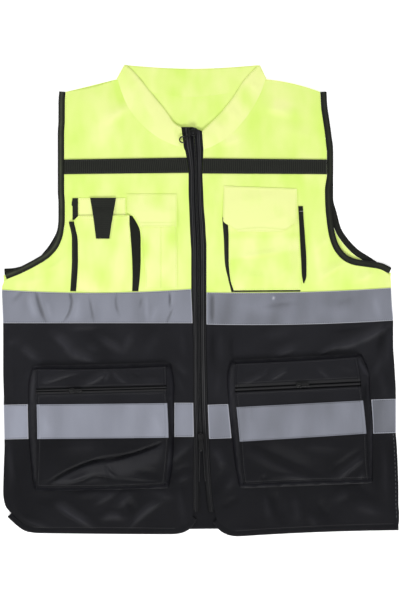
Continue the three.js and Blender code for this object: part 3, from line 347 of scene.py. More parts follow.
def evened(line, spread, closed):
    """A line of points with its corners rounded: a running mean over `spread` points to each
    side, twice. An open line keeps its ends."""
    for _ in range(2):
        if closed:
            wide = np.concatenate([line[-spread:], line, line[:spread]])
        else:
            wide = np.concatenate([2 * line[:1] - line[spread:0:-1], line,
                                   2 * line[-1:] - line[-2:-spread - 2:-1]])
        total = np.cumsum(np.concatenate([np.zeros((1, 3)), wide]), axis=0)
        line = (total[2 * spread + 1:] - total[: -2 * spread - 1]) / (2 * spread + 1)
    return line


EDGES = {                    # a grid turned so that one edge comes first, and turned back
    "inner": (lambda g: g, lambda g: g),
    "outer": (lambda g: g[:, ::-1], lambda g: g[:, ::-1]),
    "top": (lambda g: g.swapaxes(0, 1), lambda g: g.swapaxes(0, 1)),
    "bottom": (lambda g: g[::-1].swapaxes(0, 1), lambda g: g.swapaxes(0, 1)[::-1]),
}


def from_edge(grid, edge):
    """Distance of each point of a grid from one of its edges, measured along the cloth."""
    turn, back = EDGES[edge]
    lines = turn(grid)
    run = np.cumsum(np.linalg.norm(np.diff(lines, axis=1), axis=2), axis=1)
    return back(np.concatenate([np.zeros((len(lines), 1)), run], axis=1))


def from_edges(grid, edges="inner outer top bottom"):
    """Distance of each point from the nearest of some edges."""
    return np.min([from_edge(grid, edge) for edge in edges.split()], axis=0)


def inset(grid, edge, distance, ends=0.0):
    """The line that runs a distance inside one edge of a grid, without its first and last
    `ends` millimetres."""
    turn, _ = EDGES[edge]
    lines, run = turn(grid), turn(from_edge(grid, edge))
    i = np.clip((run <= distance).sum(axis=1) - 1, 0, lines.shape[1] - 2)
    r = np.arange(len(lines))
    t = (distance - run[r, i]) / (run[r, i + 1] - run[r, i])
    line = lines[r, i] + (lines[r, i + 1] - lines[r, i]) * t[:, None]
    along = lengths(line)
    return line[(along >= ends) & (along <= along[-1] - ends)]


def turned_under(grid, edges, width=6.0, height=0.3):
    """Cloth with some edges turned under: it lies higher up to `width` from them."""
    near = 1 - smooth((from_edges(grid, edges) - width) / 1.5)
    return grid + np.array([0, 0, height]) * near[..., None]


seams = {"black": [], "yellow": [], "white": [], "grey": []}


def sew(thread, line, pitch=3.4):
    """Notes a line of stitches for later."""
    seams[thread].append((line, pitch))


def sew_along(thread, grid, edges, distance, ends=0.0, pitch=3.4):
    """Notes a line a distance inside each of some edges of a grid."""
    for edge in edges.split():
        sew(thread, inset(grid, edge, distance, ends), pitch)


made = {}                    # triangles of each finished piece
NARROWEST = 10.0             # the least width that a piece is cut to


def dress(piece, nodes=(), body=BODY):
    """Puts a finished piece on its body: it rides on it and stands for its solids."""
    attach(piece, body)
    if nodes:
        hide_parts(*nodes)
    made[piece.name] = sum(len(p.vertices) - 2 for p in piece.data.polygons)
    return piece


def cloth(name, upper, thickness, material, nodes, rests_on, tone=None, looped=False,
          lower=None):
    """A piece of cloth: a shell below `upper`. It works out the size it was cut to, which is its
    area and its two mean lengths measured along the cloth, but keeps none of them."""
    lower = shifted(upper, dz=-thickness) if lower is None else lower
    points, faces = shell_parts(upper, lower, looped)
    shade = None if tone is None else np.tile(np.broadcast_to(tone, upper.shape[:2]).ravel(), 2)
    piece = put_mesh(name, points, faces, material, uv=points[:, :2], tone=shade)
    dress(piece, nodes)
    rows = np.linalg.norm(np.diff(upper, axis=0), axis=2).sum(axis=0).mean()
    across = np.linalg.norm(np.diff(upper, axis=1), axis=2).sum(axis=1).mean()
    a, b, c, d = upper[:-1, :-1], upper[:-1, 1:], upper[1:, 1:], upper[1:, :-1]
    halves = [np.linalg.norm(np.cross(p - a, q - a), axis=2).sum() for p, q in ((b, c), (c, d))]
    area, across = sum(halves) / 2, max(across, NARROWEST)
    list(rests_on)
    return piece


def edge_strip(name, path, profile, material, nodes):
    """A strip carried along a path, such as a binding, with a UV along it and round it."""
    rings = carried(path, profile)
    points, faces = tube_parts(rings)
    run = lengths(path)
    girth = np.linalg.norm(np.diff(rings, axis=1, append=rings[:, :1]), axis=2).sum(axis=1).mean()
    around = np.linspace(0, girth, rings.shape[1])
    uv = np.stack(np.broadcast_arrays(run[:, None], around[None, :]), axis=-1)
    uv = np.concatenate([uv.reshape(-1, 2), np.zeros((2, 2))])
    piece = put_mesh(name, points, faces, material, uv=uv, sharp=70)
    dress(piece, nodes)
    return piece


# %% [markdown]
# ## Shader maths as expressions
#
# A knit, a rib or a row of glass beads is a small formula on a place in the cloth. Wired up by
# hand it would be a dozen Math nodes, so a small class wraps a socket and turns Python's own
# operators into those nodes. Everything else comes from one method that takes a node's type,
# its settings and the values or links of its sockets.

# %% Wires


def plug(node, sockets):
    """Gives a node's sockets their values, or links them to other nodes' outputs."""
    for name, value in sockets.items():
        if isinstance(value, Wire):
            node.id_data.links.new(value.socket, node.inputs[name])
        else:
            node.inputs[name].default_value = value


class Wire:
    """A socket whose value takes part in Python expressions."""

    def __init__(self, socket):
        self.socket = socket

    @staticmethod
    def node(tree, kind, settings=None, inputs=None, output=0):
        """Adds a node: its settings first, then its sockets. Returns one of its outputs."""
        added = tree.nodes.new(kind)
        for name, value in (settings or {}).items():
            setattr(added, name, value)
        plug(added, inputs or {})
        return Wire(added.outputs[output])

    def math(self, operation, *values):
        return Wire.node(self.socket.id_data, "ShaderNodeMath", {"operation": operation},
                         dict(enumerate(values)))

    def __rsub__(self, other):
        return self.math("SUBTRACT", other, self)

    def wave(self):
        """sin(2 pi x), from 0 to 1: one rise and fall for each whole number."""
        return self.math("SINE", self * math.tau) * 0.5 + 0.5

    def peak(self):
        """1 half way between whole numbers, 0 at each of them, straight between."""
        middle = self.math("FRACT", self) - 0.5
        return 1 - middle.math("ABSOLUTE", middle) * 2

    def clamp(self):
        return self.math("MINIMUM", self.math("MAXIMUM", self, 0.0), 1.0)


OPERATORS = {"add": "ADD", "radd": "ADD", "sub": "SUBTRACT", "mul": "MULTIPLY",
             "truediv": "DIVIDE", "pow": "POWER"}
for name, operation in OPERATORS.items():
    setattr(Wire, f"__{name}__",
            lambda self, other, operation=operation: self.math(operation, self, other))


class Finish:
    """A material in the making, with its coordinates at hand in millimetres."""

    def __init__(self, name, coordinates="Object"):
        self.material = bpy.data.materials.new(name)
        self.material.use_nodes = True
        self.tree = self.material.node_tree
        self.shader = self.tree.nodes["Principled BSDF"]
        place = self.node("ShaderNodeTexCoord", output=coordinates)
        self.where = self.node("ShaderNodeVectorMath", {"operation": "SCALE"},
                               {0: place, "Scale": 1.0 if coordinates == "UV" else 1 / MM})
        self.x, self.y = (self.node("ShaderNodeSeparateXYZ", inputs={0: self.where}, output=k)
                          for k in range(2))

    def node(self, kind, settings=None, inputs=None, output=0):
        return Wire.node(self.tree, kind, settings, inputs, output)

    def noise(self, size, detail=2.0, stretch=(1, 1, 1)):
        """Soft noise whose lumps are about `size` millimetres across."""
        drawn = self.node("ShaderNodeVectorMath", {"operation": "MULTIPLY"},
                          {0: self.where, 1: stretch})
        return self.node("ShaderNodeTexNoise", None,
                         {"Vector": drawn, "Scale": 1 / size, "Detail": detail})

    def tone(self):
        return self.node("ShaderNodeAttribute", {"attribute_name": "tone"}, output="Fac")

    def blend(self, share, first, second):
        """A colour between two."""
        return self.node("ShaderNodeMix", {"data_type": "RGBA", "clamp_factor": True},
                         {0: share, 6: first, 7: second}, output=2)

    def bump(self, height, depth):
        """Normals of a relief `depth` millimetres deep."""
        return self.node("ShaderNodeBump", None, {"Height": height, "Distance": depth * MM})

    def done(self, colour, roughness, normal, **fixed):
        """Sets the shader. `fixed` holds what is the same all over."""
        plug(self.shader, {"Base Color": colour, "Roughness": roughness, "Normal": normal})
        plug(self.shader, {name.replace("_", " "): value for name, value in fixed.items()})
        return self.material


# %% [markdown]
# ## The cloths
#
# The bright cloth is a warp knit: narrow columns of loops, each a small chevron, with a faint
# silky shine along them. Its dye turns blue light into green and yellow; here a faint emission
# stands for that, a painted glow that also lightens its shade. It is whitest where two layers
# lie on each other and greener where one layer lets the dark through. The attribute `tone` says
# how far a place is towards the whitest, and also carries painted highlights and painted shade.
#
# The black cloth is knitted open, with a tiny pore between its loops.

# %% Knitted cloths
YELLOW = (0.63, 0.83, 0.165, 1)
YELLOW_LIGHT = (0.82, 0.86, 0.35, 1)
# a painted glow: the emission's colour, which lightens the cloth's shade
PAINTED_GLOW = (0.75, 1.0, 0.18, 1)
BLACK = (0.0016, 0.0017, 0.0030, 1)
BLACK_LIGHT = (0.021, 0.021, 0.026, 1)


def knit(finish, wale, course, slant=0.5):
    """Relief of a knit: across, loops stand in columns a `wale` apart; along a column they
    follow each other every `course`, and their two legs lean together by `slant`."""
    across = (finish.x / wale).peak()
    loops = (finish.y / course + across * slant).wave()
    return loops * 0.6 + (1 - (1 - across) ** 3.0) * 0.4


def yellow_knit():
    """Lighter by `tone`, which holds painted highlights and shade, by soft streaks along the
    columns and a little on each loop. Its emission is a painted glow.
    """
    finish = Finish("yellow knit")
    relief = knit(finish, wale=1.2, course=1.0)
    streaks = finish.noise(34, stretch=(1, 0.45, 1)) * 1.8 - 0.66
    share = (finish.tone() + streaks + (relief - 0.5) * 0.12).clamp()
    return finish.done(
        finish.blend(share, YELLOW, YELLOW_LIGHT), 0.72, finish.bump(relief, 0.12),
        Emission_Color=PAINTED_GLOW, Emission_Strength=0.09, Specular_IOR_Level=0.2)


def black_knit():
    """Lighter by `tone`, which holds a painted sheen, painted highlights and painted shade, and
    where it has faded, and dark in its pores: the product of two triangle waves, cubed."""
    finish = Finish("black knit")
    relief = knit(finish, wale=1.5, course=1.3, slant=0.35)
    pore = (finish.x / 1.5 + 0.5).peak() * (finish.y / 1.3).peak()
    faded = finish.noise(60, detail=3.0) * 0.28
    share = (finish.tone() + faded - pore ** 3.0 * 0.5).clamp()
    return finish.done(
        finish.blend(share, BLACK, BLACK_LIGHT), 0.42, finish.bump(relief, 0.16),
        Specular_IOR_Level=0.14)


yellow = yellow_knit()
black = black_knit()
print("knits:", yellow.name, "and", black.name)

# %% [markdown]
# ## Tape, webbing, binding and zip
#
# Reflective tape is a woven ground under millions of glass beads in a silver layer: grey by day,
# slightly blue, and nearly dull, with a grain too fine to see singly. Along its edges the light
# ground shows for a hair's width, and its creases are darkened with painted shade. The webbing
# is ribbed across, and its ribs are real in its mesh, so its finish adds the yarn and a painted
# highlight on the ribs' crests. The bias binding is a tight plain weave with some shine, painted
# along its middle as a highlight, and the zip's tape a herringbone of fine polyester, with
# painted highlights along its raised folds.

# %% Trims
SILVER = (0.31, 0.325, 0.39, 1)
SILVER_DARK = (0.11, 0.115, 0.132, 1)
SELVAGE = (0.50, 0.50, 0.52, 1)


def silver_tape():
    """Darker as `tone` falls from 1 to 0, with clouds and a grain; the tone of a band holds
    painted shade in its creases. From 1.5 to 2 it blends into the selvage."""
    finish = Finish("silver tape")
    grain = finish.noise(0.5, detail=1.0)
    weave = (finish.x / 0.9).wave() * (finish.y / 0.9).wave()
    clouds = finish.noise(26, stretch=(1, 0.3, 1))
    share = ((1 - finish.tone()) + (clouds - 0.5) * 0.35 + (grain - 0.5) * 0.4).clamp()
    edge = finish.tone() * 2 - 3
    beads = finish.blend(share, SILVER, SILVER_DARK)
    return finish.done(
        finish.blend(edge.clamp(), beads, SELVAGE), 0.42 + clouds * 0.16,
        finish.bump(weave + grain, 0.05), Metallic=0.25, Specular_IOR_Level=0.4)


def webbing_finish():
    """Two crossed waves make the yarn, and `tone` is lighter on the ribs: a painted highlight on
    their crests.
    """
    finish = Finish("webbing", "UV")
    yarn = (finish.x / 0.8).wave() * (finish.y / 0.55).wave()
    share = (finish.tone() * 0.8 + yarn * 0.3).clamp()
    return finish.done(
        finish.blend(share, (0.003, 0.0035, 0.003, 1), (0.026, 0.0285, 0.021, 1)), 0.6,
        finish.bump(yarn, 0.12), Specular_IOR_Level=0.2)


def binding_finish(name, light):
    """The UV of a binding runs round it: the middle of its upper side is at 5 mm, and `light`
    is how strong a painted highlight is there, in soft patches."""
    finish = Finish(name, "UV")
    weave = ((finish.x + finish.y) / 0.9).wave() * ((finish.x - finish.y) / 0.9).wave()
    painted_sheen = (finish.y / 10).peak() ** 5.0 * (0.3 + finish.noise(14) * 1.4) * light
    share = (painted_sheen + weave * 0.12 + 0.03).clamp()
    return finish.done(
        finish.blend(share, (0.0030, 0.0036, 0.0022, 1), (0.050, 0.057, 0.034, 1)),
        0.45, finish.bump(weave, 0.08), Specular_IOR_Level=0.22)


def zip_cloth():
    """A herringbone: the wave of its yarn turns back every 1.6 mm across. Its `tone` holds
    painted highlights along the tape's raised folds.
    """
    finish = Finish("zip tape")
    turn = (finish.x / 1.6).peak()
    weave = (finish.y / 0.8 + turn * 1.5).wave()
    share = (finish.tone() * (0.8 + weave * 0.4) + weave * 0.05).clamp()
    return finish.done(
        finish.blend(share, (0.0016, 0.0017, 0.0026, 1), (0.042, 0.042, 0.044, 1)), 0.5,
        finish.bump(weave, 0.12), Specular_IOR_Level=0.14)


def plain(name, low, high, size, roughness, **fixed):
    """A hard or shiny finish: two near colours in soft lumps, with a fine uneven skin."""
    finish = Finish(name)
    lumps = finish.noise(size, detail=3.0)
    return finish.done(finish.blend(lumps, low, high), roughness + (lumps - 0.5) * 0.15,
                       finish.bump(lumps, 0.03), **fixed)


silver = silver_tape()
webbing = webbing_finish()
# Lit and shaded copies of one finish: the full painted highlight, a weaker one, and none.
binding = binding_finish("bias binding", 1.0)
shaded_binding = binding_finish("shaded binding", 0.3)
trim = binding_finish("plain trim", 0.0)
zip_tape = zip_cloth()
nylon = plain("nylon coil", (0.014, 0.015, 0.016, 1), (0.042, 0.043, 0.046, 1), 1.5, 0.4,
              Specular_IOR_Level=0.4)
metal = plain("black metal", (0.002, 0.002, 0.0024, 1), (0.010, 0.010, 0.011, 1), 2.5, 0.2,
              Specular_IOR_Level=0.4)
THREADS = [                  # name, its two colours and its roughness
    ("black", (0.006, 0.006, 0.007, 1), (0.02, 0.02, 0.022, 1), 0.5),
    ("yellow", (0.62, 0.80, 0.15, 1), (0.80, 0.88, 0.28, 1), 0.55),
    ("white", (0.6, 0.6, 0.55, 1), (0.75, 0.75, 0.7, 1), 0.5),
    ("grey", (0.04, 0.04, 0.046, 1), (0.09, 0.09, 0.10, 1), 0.5),
]
threads = {name: plain(f"{name} thread", low, high, 0.8, roughness)
           for name, low, high, roughness in THREADS}
table_finish = plain("white table", (0.93, 0.93, 0.93, 1), (0.95, 0.95, 0.95, 1), 300, 0.8,
                     Specular_IOR_Level=0.1, Emission_Color=(1, 1, 1, 1), Emission_Strength=0.45)
print(len(bpy.data.materials), "finishes")

# %% [markdown]
# The table is a broad white sheet. It isn't part of the vest.

# %% The table


def table_sheet(half):
    """A square that reaches `half` metres from the middle to each side, a hair below the vest."""
    corners = [(-half, -half, 0), (half, -half, 0), (half, half, 0), (-half, half, 0)]
    mesh = bpy.data.meshes.new("table")
    mesh.from_pydata(corners, [], [(0, 1, 2, 3)])
    mesh.materials.append(table_finish)
    floor = bpy.data.objects.new("table", mesh)
    floor.location.z = -0.0002
    scene.collection.objects.link(floor)


table_sheet(6.0)

# %% [markdown]
# ## Folds
#
# Cloth that was folded in a packet keeps soft ridges and troughs. Each one here is listed: a
# bowed line, a half width and a height, negative for a trough. It is highest along its line,
# falls away to both sides and fades to its ends with a soft step, and folds that meet add up. A
# slow swell of a few waves lies under them, so no stretch is perfectly flat.

# %% Fold formulas


def fold_height(folds, x, y):
    """Sum of the folds at (x, y). Each is x1 y1 x2 y2 width height, and then bend and lean where
    they aren't 0.

    `bend` bows a fold's line sideways in its middle. `lean` makes it steeper on one side, on the
    right of its run where it is positive. At a of its width from the line, a fold has
    (1 - a)^2 (1 + 1.2 a) of its height, which leaves a crisp crest.
    """
    total = np.zeros(np.broadcast(x, y).shape)
    for x1, y1, x2, y2, width, height, *form in folds:
        bend, lean = (*form, 0, 0)[:2]
        dx, dy = x2 - x1, y2 - y1
        length = math.hypot(dx, dy)
        t = ((x - x1) * dx + (y - y1) * dy) / length**2
        inside = np.clip(t, 0, 1)
        off = ((x - x1) * dy - (y - y1) * dx) / length - bend * 4 * inside * (1 - inside)
        reach = width * (1 - lean * np.sign(off))
        away = np.clip(np.hypot(off / reach, (t - inside) * length / width), 0, 1)
        taper = smooth(np.minimum(inside, 1 - inside) / 0.35) * 0.75 + 0.25
        total += height * taper * (1 - away) ** 2 * (1 + 1.2 * away)
    return total


def swell(x, y, size, seed):
    """Sum of five slow waves that run in different directions, from -1 to 1."""
    draw = np.random.default_rng(seed)
    total = np.zeros(np.broadcast(x, y).shape)
    for k in range(5):
        turn = draw.uniform(0, math.tau)
        length = size * draw.uniform(0.8, 1.9)
        phase = draw.uniform(0, math.tau)
        total += np.sin((x * math.cos(turn) + y * math.sin(turn)) / length * math.tau + phase)
    return total / 5


RIGHT_FOLDS = [
    # yellow
    (-151, 264, -104, 294, 15, 2.2, 0, 0.3), (-176, 236, -128, 268, 22, 0.9, 4),
    (-120, 330, -112, 296, 12, -0.9), (-70, 262, -52, 240, 9, 1.0),
    (-190, 300, -150, 312, 20, 0.8), (-160, 192, -90, 204, 18, 0.7),
    (-196, 140, -200, 92, 9, 0.9, 0, 0.3), (-198, 72, -236, 44, 9, 1.0, -4, 0.3),
    (-280, 24, -230, 34, 9, 0.8), (-206, 40, -202, 96, 8, 0.6),
    # under the upper band
    (-248, 19, -232, -33, 4.5, -2.8, 2, 0.2), (-257, 16, -244, -30, 10, 1.3, 2),
    (-194, 9, -208, -33, 4, -2.6, -5, 0.3), (-197, 14, -193, 0, 4, -2.0),
    (-182, 8, -188, -32, 9, 1.0), (-168, 8, -160, -33, 4, -1.6, 0, 0.3),
    (-126, 12, -122, -22, 4, -1.7, 3, 0.3), (-88, 6, -91, -10, 4.5, -1.3),
    (-81, 10, -80, -32, 6, 1.0), (-46, 15, -46, -10, 3.6, -2.6, 0, 0.3),
    (-51, -34, -41, -10, 4.5, -1.9), (-283, -2, -266, 16, 7, -1.3), (-232, 2, -224, -30, 7, 0.9),
    (-62, -4, -76, -34, 9, 0.7),
    # above the pocket
    (-198, -42, -150, -37, 10, 1.4, 0, 0.3), (-222, -50, -193, -80, 12, 3.2, -2, 0.35),
    (-200, -76, -158, -92, 11, 2.4, 0, 0.3), (-271, -68, -244, -90, 10, 2.4, 0, 0.3),
    (-291, -66, -270, -56, 9, 1.0), (-238, -84, -262, -122, 12, 1.0),
    (-153, -52, -115, -74, 10, 2.4, 0, -0.3), (-116, -74, -102, -50, 10, 1.8),
    (-174, -68, -152, -73, 10, 1.1), (-84, -80, -60, -48, 13, 0.9),
    (-40, -90, -20, -112, 9, 1.3, 0, 0.3), (-38, -108, -24, -140, 8, 0.9),
    (-28, -44, -24, -90, 8, 0.9),
    # beside and below it
    (-290, -214, -281, -274, 9, 1.5), (-278, -230, -272, -290, 10, -0.9),
    (-50, -246, -14, -212, 13, 1.8, 0, 0.4), (-44, -262, -14, -248, 10, -1.2),
    (-36, -270, -16, -262, 9, 1.2), (-220, -302, -162, -339, 11, 3.4, 3, 0.35),
    (-149, -327, -114, -327, 9, 2.2, -4), (-158, -306, -126, -286, 9, 1.5, 0, 0.3),
    (-124, -310, -101, -287, 12, 1.8, 0, 0.3), (-107, -301, -96, -320, 10, -1.5),
    (-103, -338, -60, -302, 9, 2.7, -3, 0.35), (-270, -328, -226, -341, 8, 1.2),
    (-252, -296, -206, -300, 14, -1.0), (-186, -293, -140, -289, 10, 0.9),
    (-70, -288, -40, -296, 10, 1.0), (-32, -280, -26, -330, 8, 1.1),
]
BLISTER = (109, 5, 111, 3, 3, 2.4)
LEFT_FOLDS = [
    # yellow
    (98, 290, 140, 280, 16, 1.8, 0, 0.3), (120, 262, 168, 246, 20, 0.9),
    (60, 244, 36, 236, 10, 0.9), (24, 248, 44, 232, 8, 0.8), (70, 200, 150, 208, 16, 0.8),
    (20, 180, 24, 100, 10, 0.7), (150, 190, 184, 200, 12, 0.6),
    (166, 70, 196, 96, 12, 1.2, 0, 0.3), (176, 31, 217, 57, 10, 2.0, 0, 0.4),
    (232, 28, 262, 43, 11, 1.9, 2, 0.4), (170, 26, 206, 34, 10, 0.8), (24, 60, 30, 28, 10, 0.8),
    # under the upper band
    (18, 17, 18, -36, 6, -2.6), (89, -10, 147, -3, 7, -0.9), BLISTER, (60, -6, 120, -14, 16, 0.6),
    (170, -10, 230, -18, 18, 0.6), (262, 8, 270, -26, 9, 0.7), (236, 6, 200, -8, 12, -0.6),
    # above the pocket
    (176, -84, 214, -66, 6, 1.9, -2, 0.5), (206, -70, 240, -60, 9, 2.6, 2, 0.4),
    (234, -62, 286, -35, 10, 3.2, 2, 0.35), (277, -38, 268, -78, 9, -1.5),
    (286, -40, 280, -100, 7, 1.4), (258, -112, 276, -84, 9, 1.2),
    (110, -85, 146, -67, 10, 1.8, 0, 0.3), (92, -55, 144, -39, 16, 1.2),
    (46, -50, 47, -94, 6, -1.1), (30, -42, 31, -96, 9, 1.0), (18, -44, 19, -96, 6, -1.1),
    (200, -48, 250, -40, 12, -0.9), (268, -100, 282, -150, 10, 1.0), (30, -104, 24, -140, 8, 0.9),
    # beside and below it
    (17, -222, 34, -254, 11, 1.8, -3, 0.3), (34, -252, 23, -286, 9, -1.4),
    (38, -284, 52, -264, 8, 1.2), (34, -310, 54, -298, 9, -1.2),
    (111, -282, 125, -332, 13, -2.0, 2), (96, -290, 104, -330, 10, 1.1),
    (142, -292, 148, -334, 12, 1.1), (178, -300, 192, -326, 10, -1.3),
    (200, -299, 224, -286, 11, 1.2), (236, -272, 262, -300, 12, -1.1),
    (276, -214, 280, -300, 10, 0.9), (46, -346, 80, -345, 5, 1.0),
    (230, -306, 268, -318, 12, 1.1), (160, -318, 176, -338, 11, 1.0),
]
PAINTED_YELLOW_STREAKS = [           # painted highlights along folds, and painted shade in one trough
    (-84, 302, -60, 268, 10, 0.5), (4, 270, 62, 238, 15, 0.45, 3), (-58, 262, -30, 236, 10, 0.4),
    (60, 326, 78, 344, 10, 0.4), (-104, 330, -92, 345, 9, 0.4), (-150, 262, -108, 292, 12, 0.3),
    (104, 300, 150, 292, 14, 0.35), (-190, 64, -120, 40, 12, 0.3),
    (-126, 334, -120, 298, 8, -0.5), (165, 120, 180, 40, 10, 0.35),
]
SETTLE = 18                  # a front comes down to its side seam over this width
CLOTH = 1.2                  # a front's own thickness, with its seam allowances
SWELL_SIZE = 74              # length of the slow waves
DEEPEST = -2.0               # no trough of a front goes lower than this
print(len(RIGHT_FOLDS), "folds in the right front and", len(LEFT_FOLDS), "in the left")

# %% [markdown]
# ## The two fronts
#
# Each front is cut as a yellow piece above and a black piece below, joined under the upper band.
# A front could be a flat plane with a drawn outline, but then its folds would have to be found
# again for everything sewn onto it. So one function gives the height of a front anywhere, and
# bands, webbing and pockets take their own heights from it.
#
# A row of a table ends at the neck or the zip on the inside, and at the armhole or the side seam
# on the outside. `settle` is 1 where the cloth comes down to the shoulder seam, `side` is 1
# beside the side seam, and `band` is 1 where a reflective band lies under the back.

# %% Outlines of the fronts
FRONT_COLUMNS = "in_x in_y out_x out_y bow settle side band"
RIGHT_FRONT = [
    (-125, 333, -203, 314, -3, 1), (-120, 317, -204, 297, -1, 0.45), (-110, 293, -204, 272),
    (-92, 269, -205, 251), (-65, 246, -205, 233), (-38, 233, -205, 223), (-25, 229, -205, 218),
    (-21, 215, -205, 212), (-18, 192, -205, 190), (-18, 166, -205, 166), (-17, 139, -204, 145),
    (-16, 112, -204, 123), (-15, 91, -206, 103), (-14, 73, -212, 84), (-14, 58, -226, 66),
    (-14, 46, -246, 53), (-14, 36, -269, 41), (-14, 27, -296, 28, 0, 0, 1),
    (-14, 17, -299, 16, -5, 0, 1, 1), (-13, -8, -298, -8, -2, 0, 1, 1),
    (-12, -34, -297, -34, 0, 0, 1, 1), (-12, -45, -297, -46, 0, 0, 1),
    (-11, -68, -297, -70, 0, 0, 1), (-11, -108, -297, -108, 0, 0, 1),
    (-11, -142, -296, -145, 0, 0, 1), (-11, -154, -296, -157, 1, 0, 1, 1),
    (-10, -205, -295, -209, 1, 0, 1, 1), (-10.5, -217, -295, -221, 0, 0, 1),
    (-11, -248, -296, -249, 0, 0, 1), (-11, -290, -297, -288, 0, 0, 1),
    (-11, -310, -294, -308, 0, 0, 1), (-12, -326, -285, -320, 0, 0, 1),
    (-18, -337, -275, -330, 0, 0, 1), (-30, -344, -260, -342, -0.5, 0, 1),
]
LEFT_FRONT = [
    (98, 333, 180, 314, 3, 1), (92, 316, 181, 294, 1, 0.45), (81, 294, 184, 272),
    (66, 272, 187, 251), (41, 246, 189, 232), (16, 231, 190, 223), (4.5, 226, 190, 218),
    (4, 214, 190, 212), (3, 191, 190, 190), (4, 166, 187, 166), (5, 142, 187.5, 144),
    (7, 118, 189.5, 121), (8, 99, 192.8, 99), (9, 82, 198.5, 81), (9, 70, 206, 69),
    (9, 59, 217, 59), (9, 50, 232, 53), (9, 41, 252, 50), (9, 33, 270, 47),
    (9, 24, 286, 35, 0, 0, 1), (9, 12, 287, 19, -3, 0, 1, 1), (9, -12, 288, -5, -3, 0, 1, 1),
    (9, -36, 290, -30, -3, 0, 1, 1), (9, -47, 290, -42, 0, 0, 1), (9, -68, 290, -66, 0, 0, 1),
    (10, -105, 292, -99, 0, 0, 1), (11, -145, 294, -136, 0, 0, 1),
    (11, -157, 294, -148, 0, 0, 1, 1), (13, -208, 294, -199, 0, 0, 1, 1),
    (13.5, -219, 295, -211, 0, 0, 1), (15, -252, 297, -249, 0, 0, 1),
    (18, -296, 298, -288, 0, 0, 1), (21, -316, 298, -306, 0, 0, 1),
    (25, -330, 299, -320, 0, 0, 1), (33, -341, 299, -330, 1, 0, 1),
    (47, -348, 298, -338, 2, 0, 1),
]
GRID_GAP = 3.2               # millimetres between the points of a panel
ARMHOLE_END = {"right": 16, "left": 18}      # last row of the table beside the armhole
NECK_END = 6                                 # last row beside the neck
BAND_LIFT = 1.3              # the back rides this high over its own bands
print(len(RIGHT_FRONT), "and", len(LEFT_FRONT), "main rows")

# %% Height of a front


class Front:
    """One front: its rows, its grid of points and the folds that lie in it."""

    def __init__(self, side, rows, folds, seed):
        self.side, self.folds, self.seed = side, folds, seed
        self.table, self.at = finer(FRONT_COLUMNS, rows, GRID_GAP)
        self.sign = 1 if side == "left" else -1
        width = abs(rows[-8][2] - rows[-8][0])
        self.u = np.linspace(0, 1, round(width / GRID_GAP) + 1)
        self.grid = self.points(slice(None), self.u)

    def relief(self, x, y):
        """How far folds and swell lift the cloth at (x, y)."""
        slow = 0.45 * swell(x, y, SWELL_SIZE, self.seed)
        return np.maximum(fold_height(self.folds, x, y) + slow, DEEPEST)

    def points(self, rows, u):
        """Points of the front's upper face on some of its rows, at shares u of their width.

        The height is the open panel's with its relief. It blends down to the back within
        SETTLE of the side seam and at the shoulder.
        """
        part = {name: column[rows] for name, column in self.table.items()}
        x, y = lay_out(part, u)
        width = np.abs(part["out_x"] - part["in_x"])[:, None]
        near_seam = 1 - smooth((1 - np.atleast_2d(u)) * width / SETTLE)
        down = np.maximum(part["settle"][:, None], part["side"][:, None] * near_seam)
        seam = 2 * CLOTH + SEAM + part["band"][:, None] * BAND_LIFT
        return grid_of(x, y, mix(FRONT_TOP + self.relief(x, y), seam, down))

    def row(self, number):
        """The place of one row of the table, counted from the side seam's first, in the grid."""
        return self.at[ARMHOLE_END[self.side] + 1 + number]

    def level(self, x, y, above=0.0):
        """Points on the open part of the front, or above it."""
        x, y = np.asarray(x, float), np.asarray(y, float)
        return grid_of(x, y, FRONT_TOP + self.relief(x, y) + above)


fronts = {
    "right": Front("right", RIGHT_FRONT, RIGHT_FOLDS, seed=3),
    "left": Front("left", LEFT_FRONT, LEFT_FOLDS, seed=8),
}
right_front, left_front = fronts.values()
for name, front in fronts.items():
    print(name, "front:", front.grid.shape[:2], "points")

# %% [markdown]
# The yellow piece ends half a seam's play above the join, and the black one starts as far below
# it. On both cloths `tone` follows the relief: the crest of a fold is painted lighter, a painted
# highlight, and a trough darker, painted shade. The black cloth also has a painted sheen above
# the lower band.

# %% Front panels
JOIN = 2                     # row of the side seam where yellow meets black
PANEL_THICKNESS = 1.0
# base tone of the yellow, and how much painted highlight or shade a millimetre of relief adds
YELLOW_TONE, YELLOW_GAIN, BLACK_GAIN = 0.16, 0.16, 0.22
LOWER_BAND = -215            # height of the lower band's lower edge


def tone_of(points, front, base, gain):
    """Share of the lighter colour: a base, a gain for each millimetre of relief, which paints
    highlights on crests and shade in troughs, and the painted streaks.
    """
    tone = base + gain * front.relief(*plan(points)) + fold_height(PAINTED_YELLOW_STREAKS, *plan(points))
    return np.clip(tone, 0, 1)


def crumpled(grid):
    """Soft lighter and darker streaks across a band, and a pale blister on one of them."""
    x, y = plan(grid)
    return 0.11 * swell(x, 0.3 * y, 24, 9) + fold_height([BLISTER], x, y)


def painted_sheen(y):
    """A painted sheen on the black cloth at a height, its gloss in the light from the collar's
    side:
    lighter above the lower band than below it.
    """
    return 0.02 + 0.24 * smooth((y - LOWER_BAND) / 70)


def split_at(grid, r):
    """A grid cut in two at a row, with the play of a seam between its parts."""
    above, below = grid[: r + 1].copy(), grid[r:].copy()
    above[-1, :, 1] += SEAM / 2
    below[0, :, 1] -= SEAM / 2
    return above, below


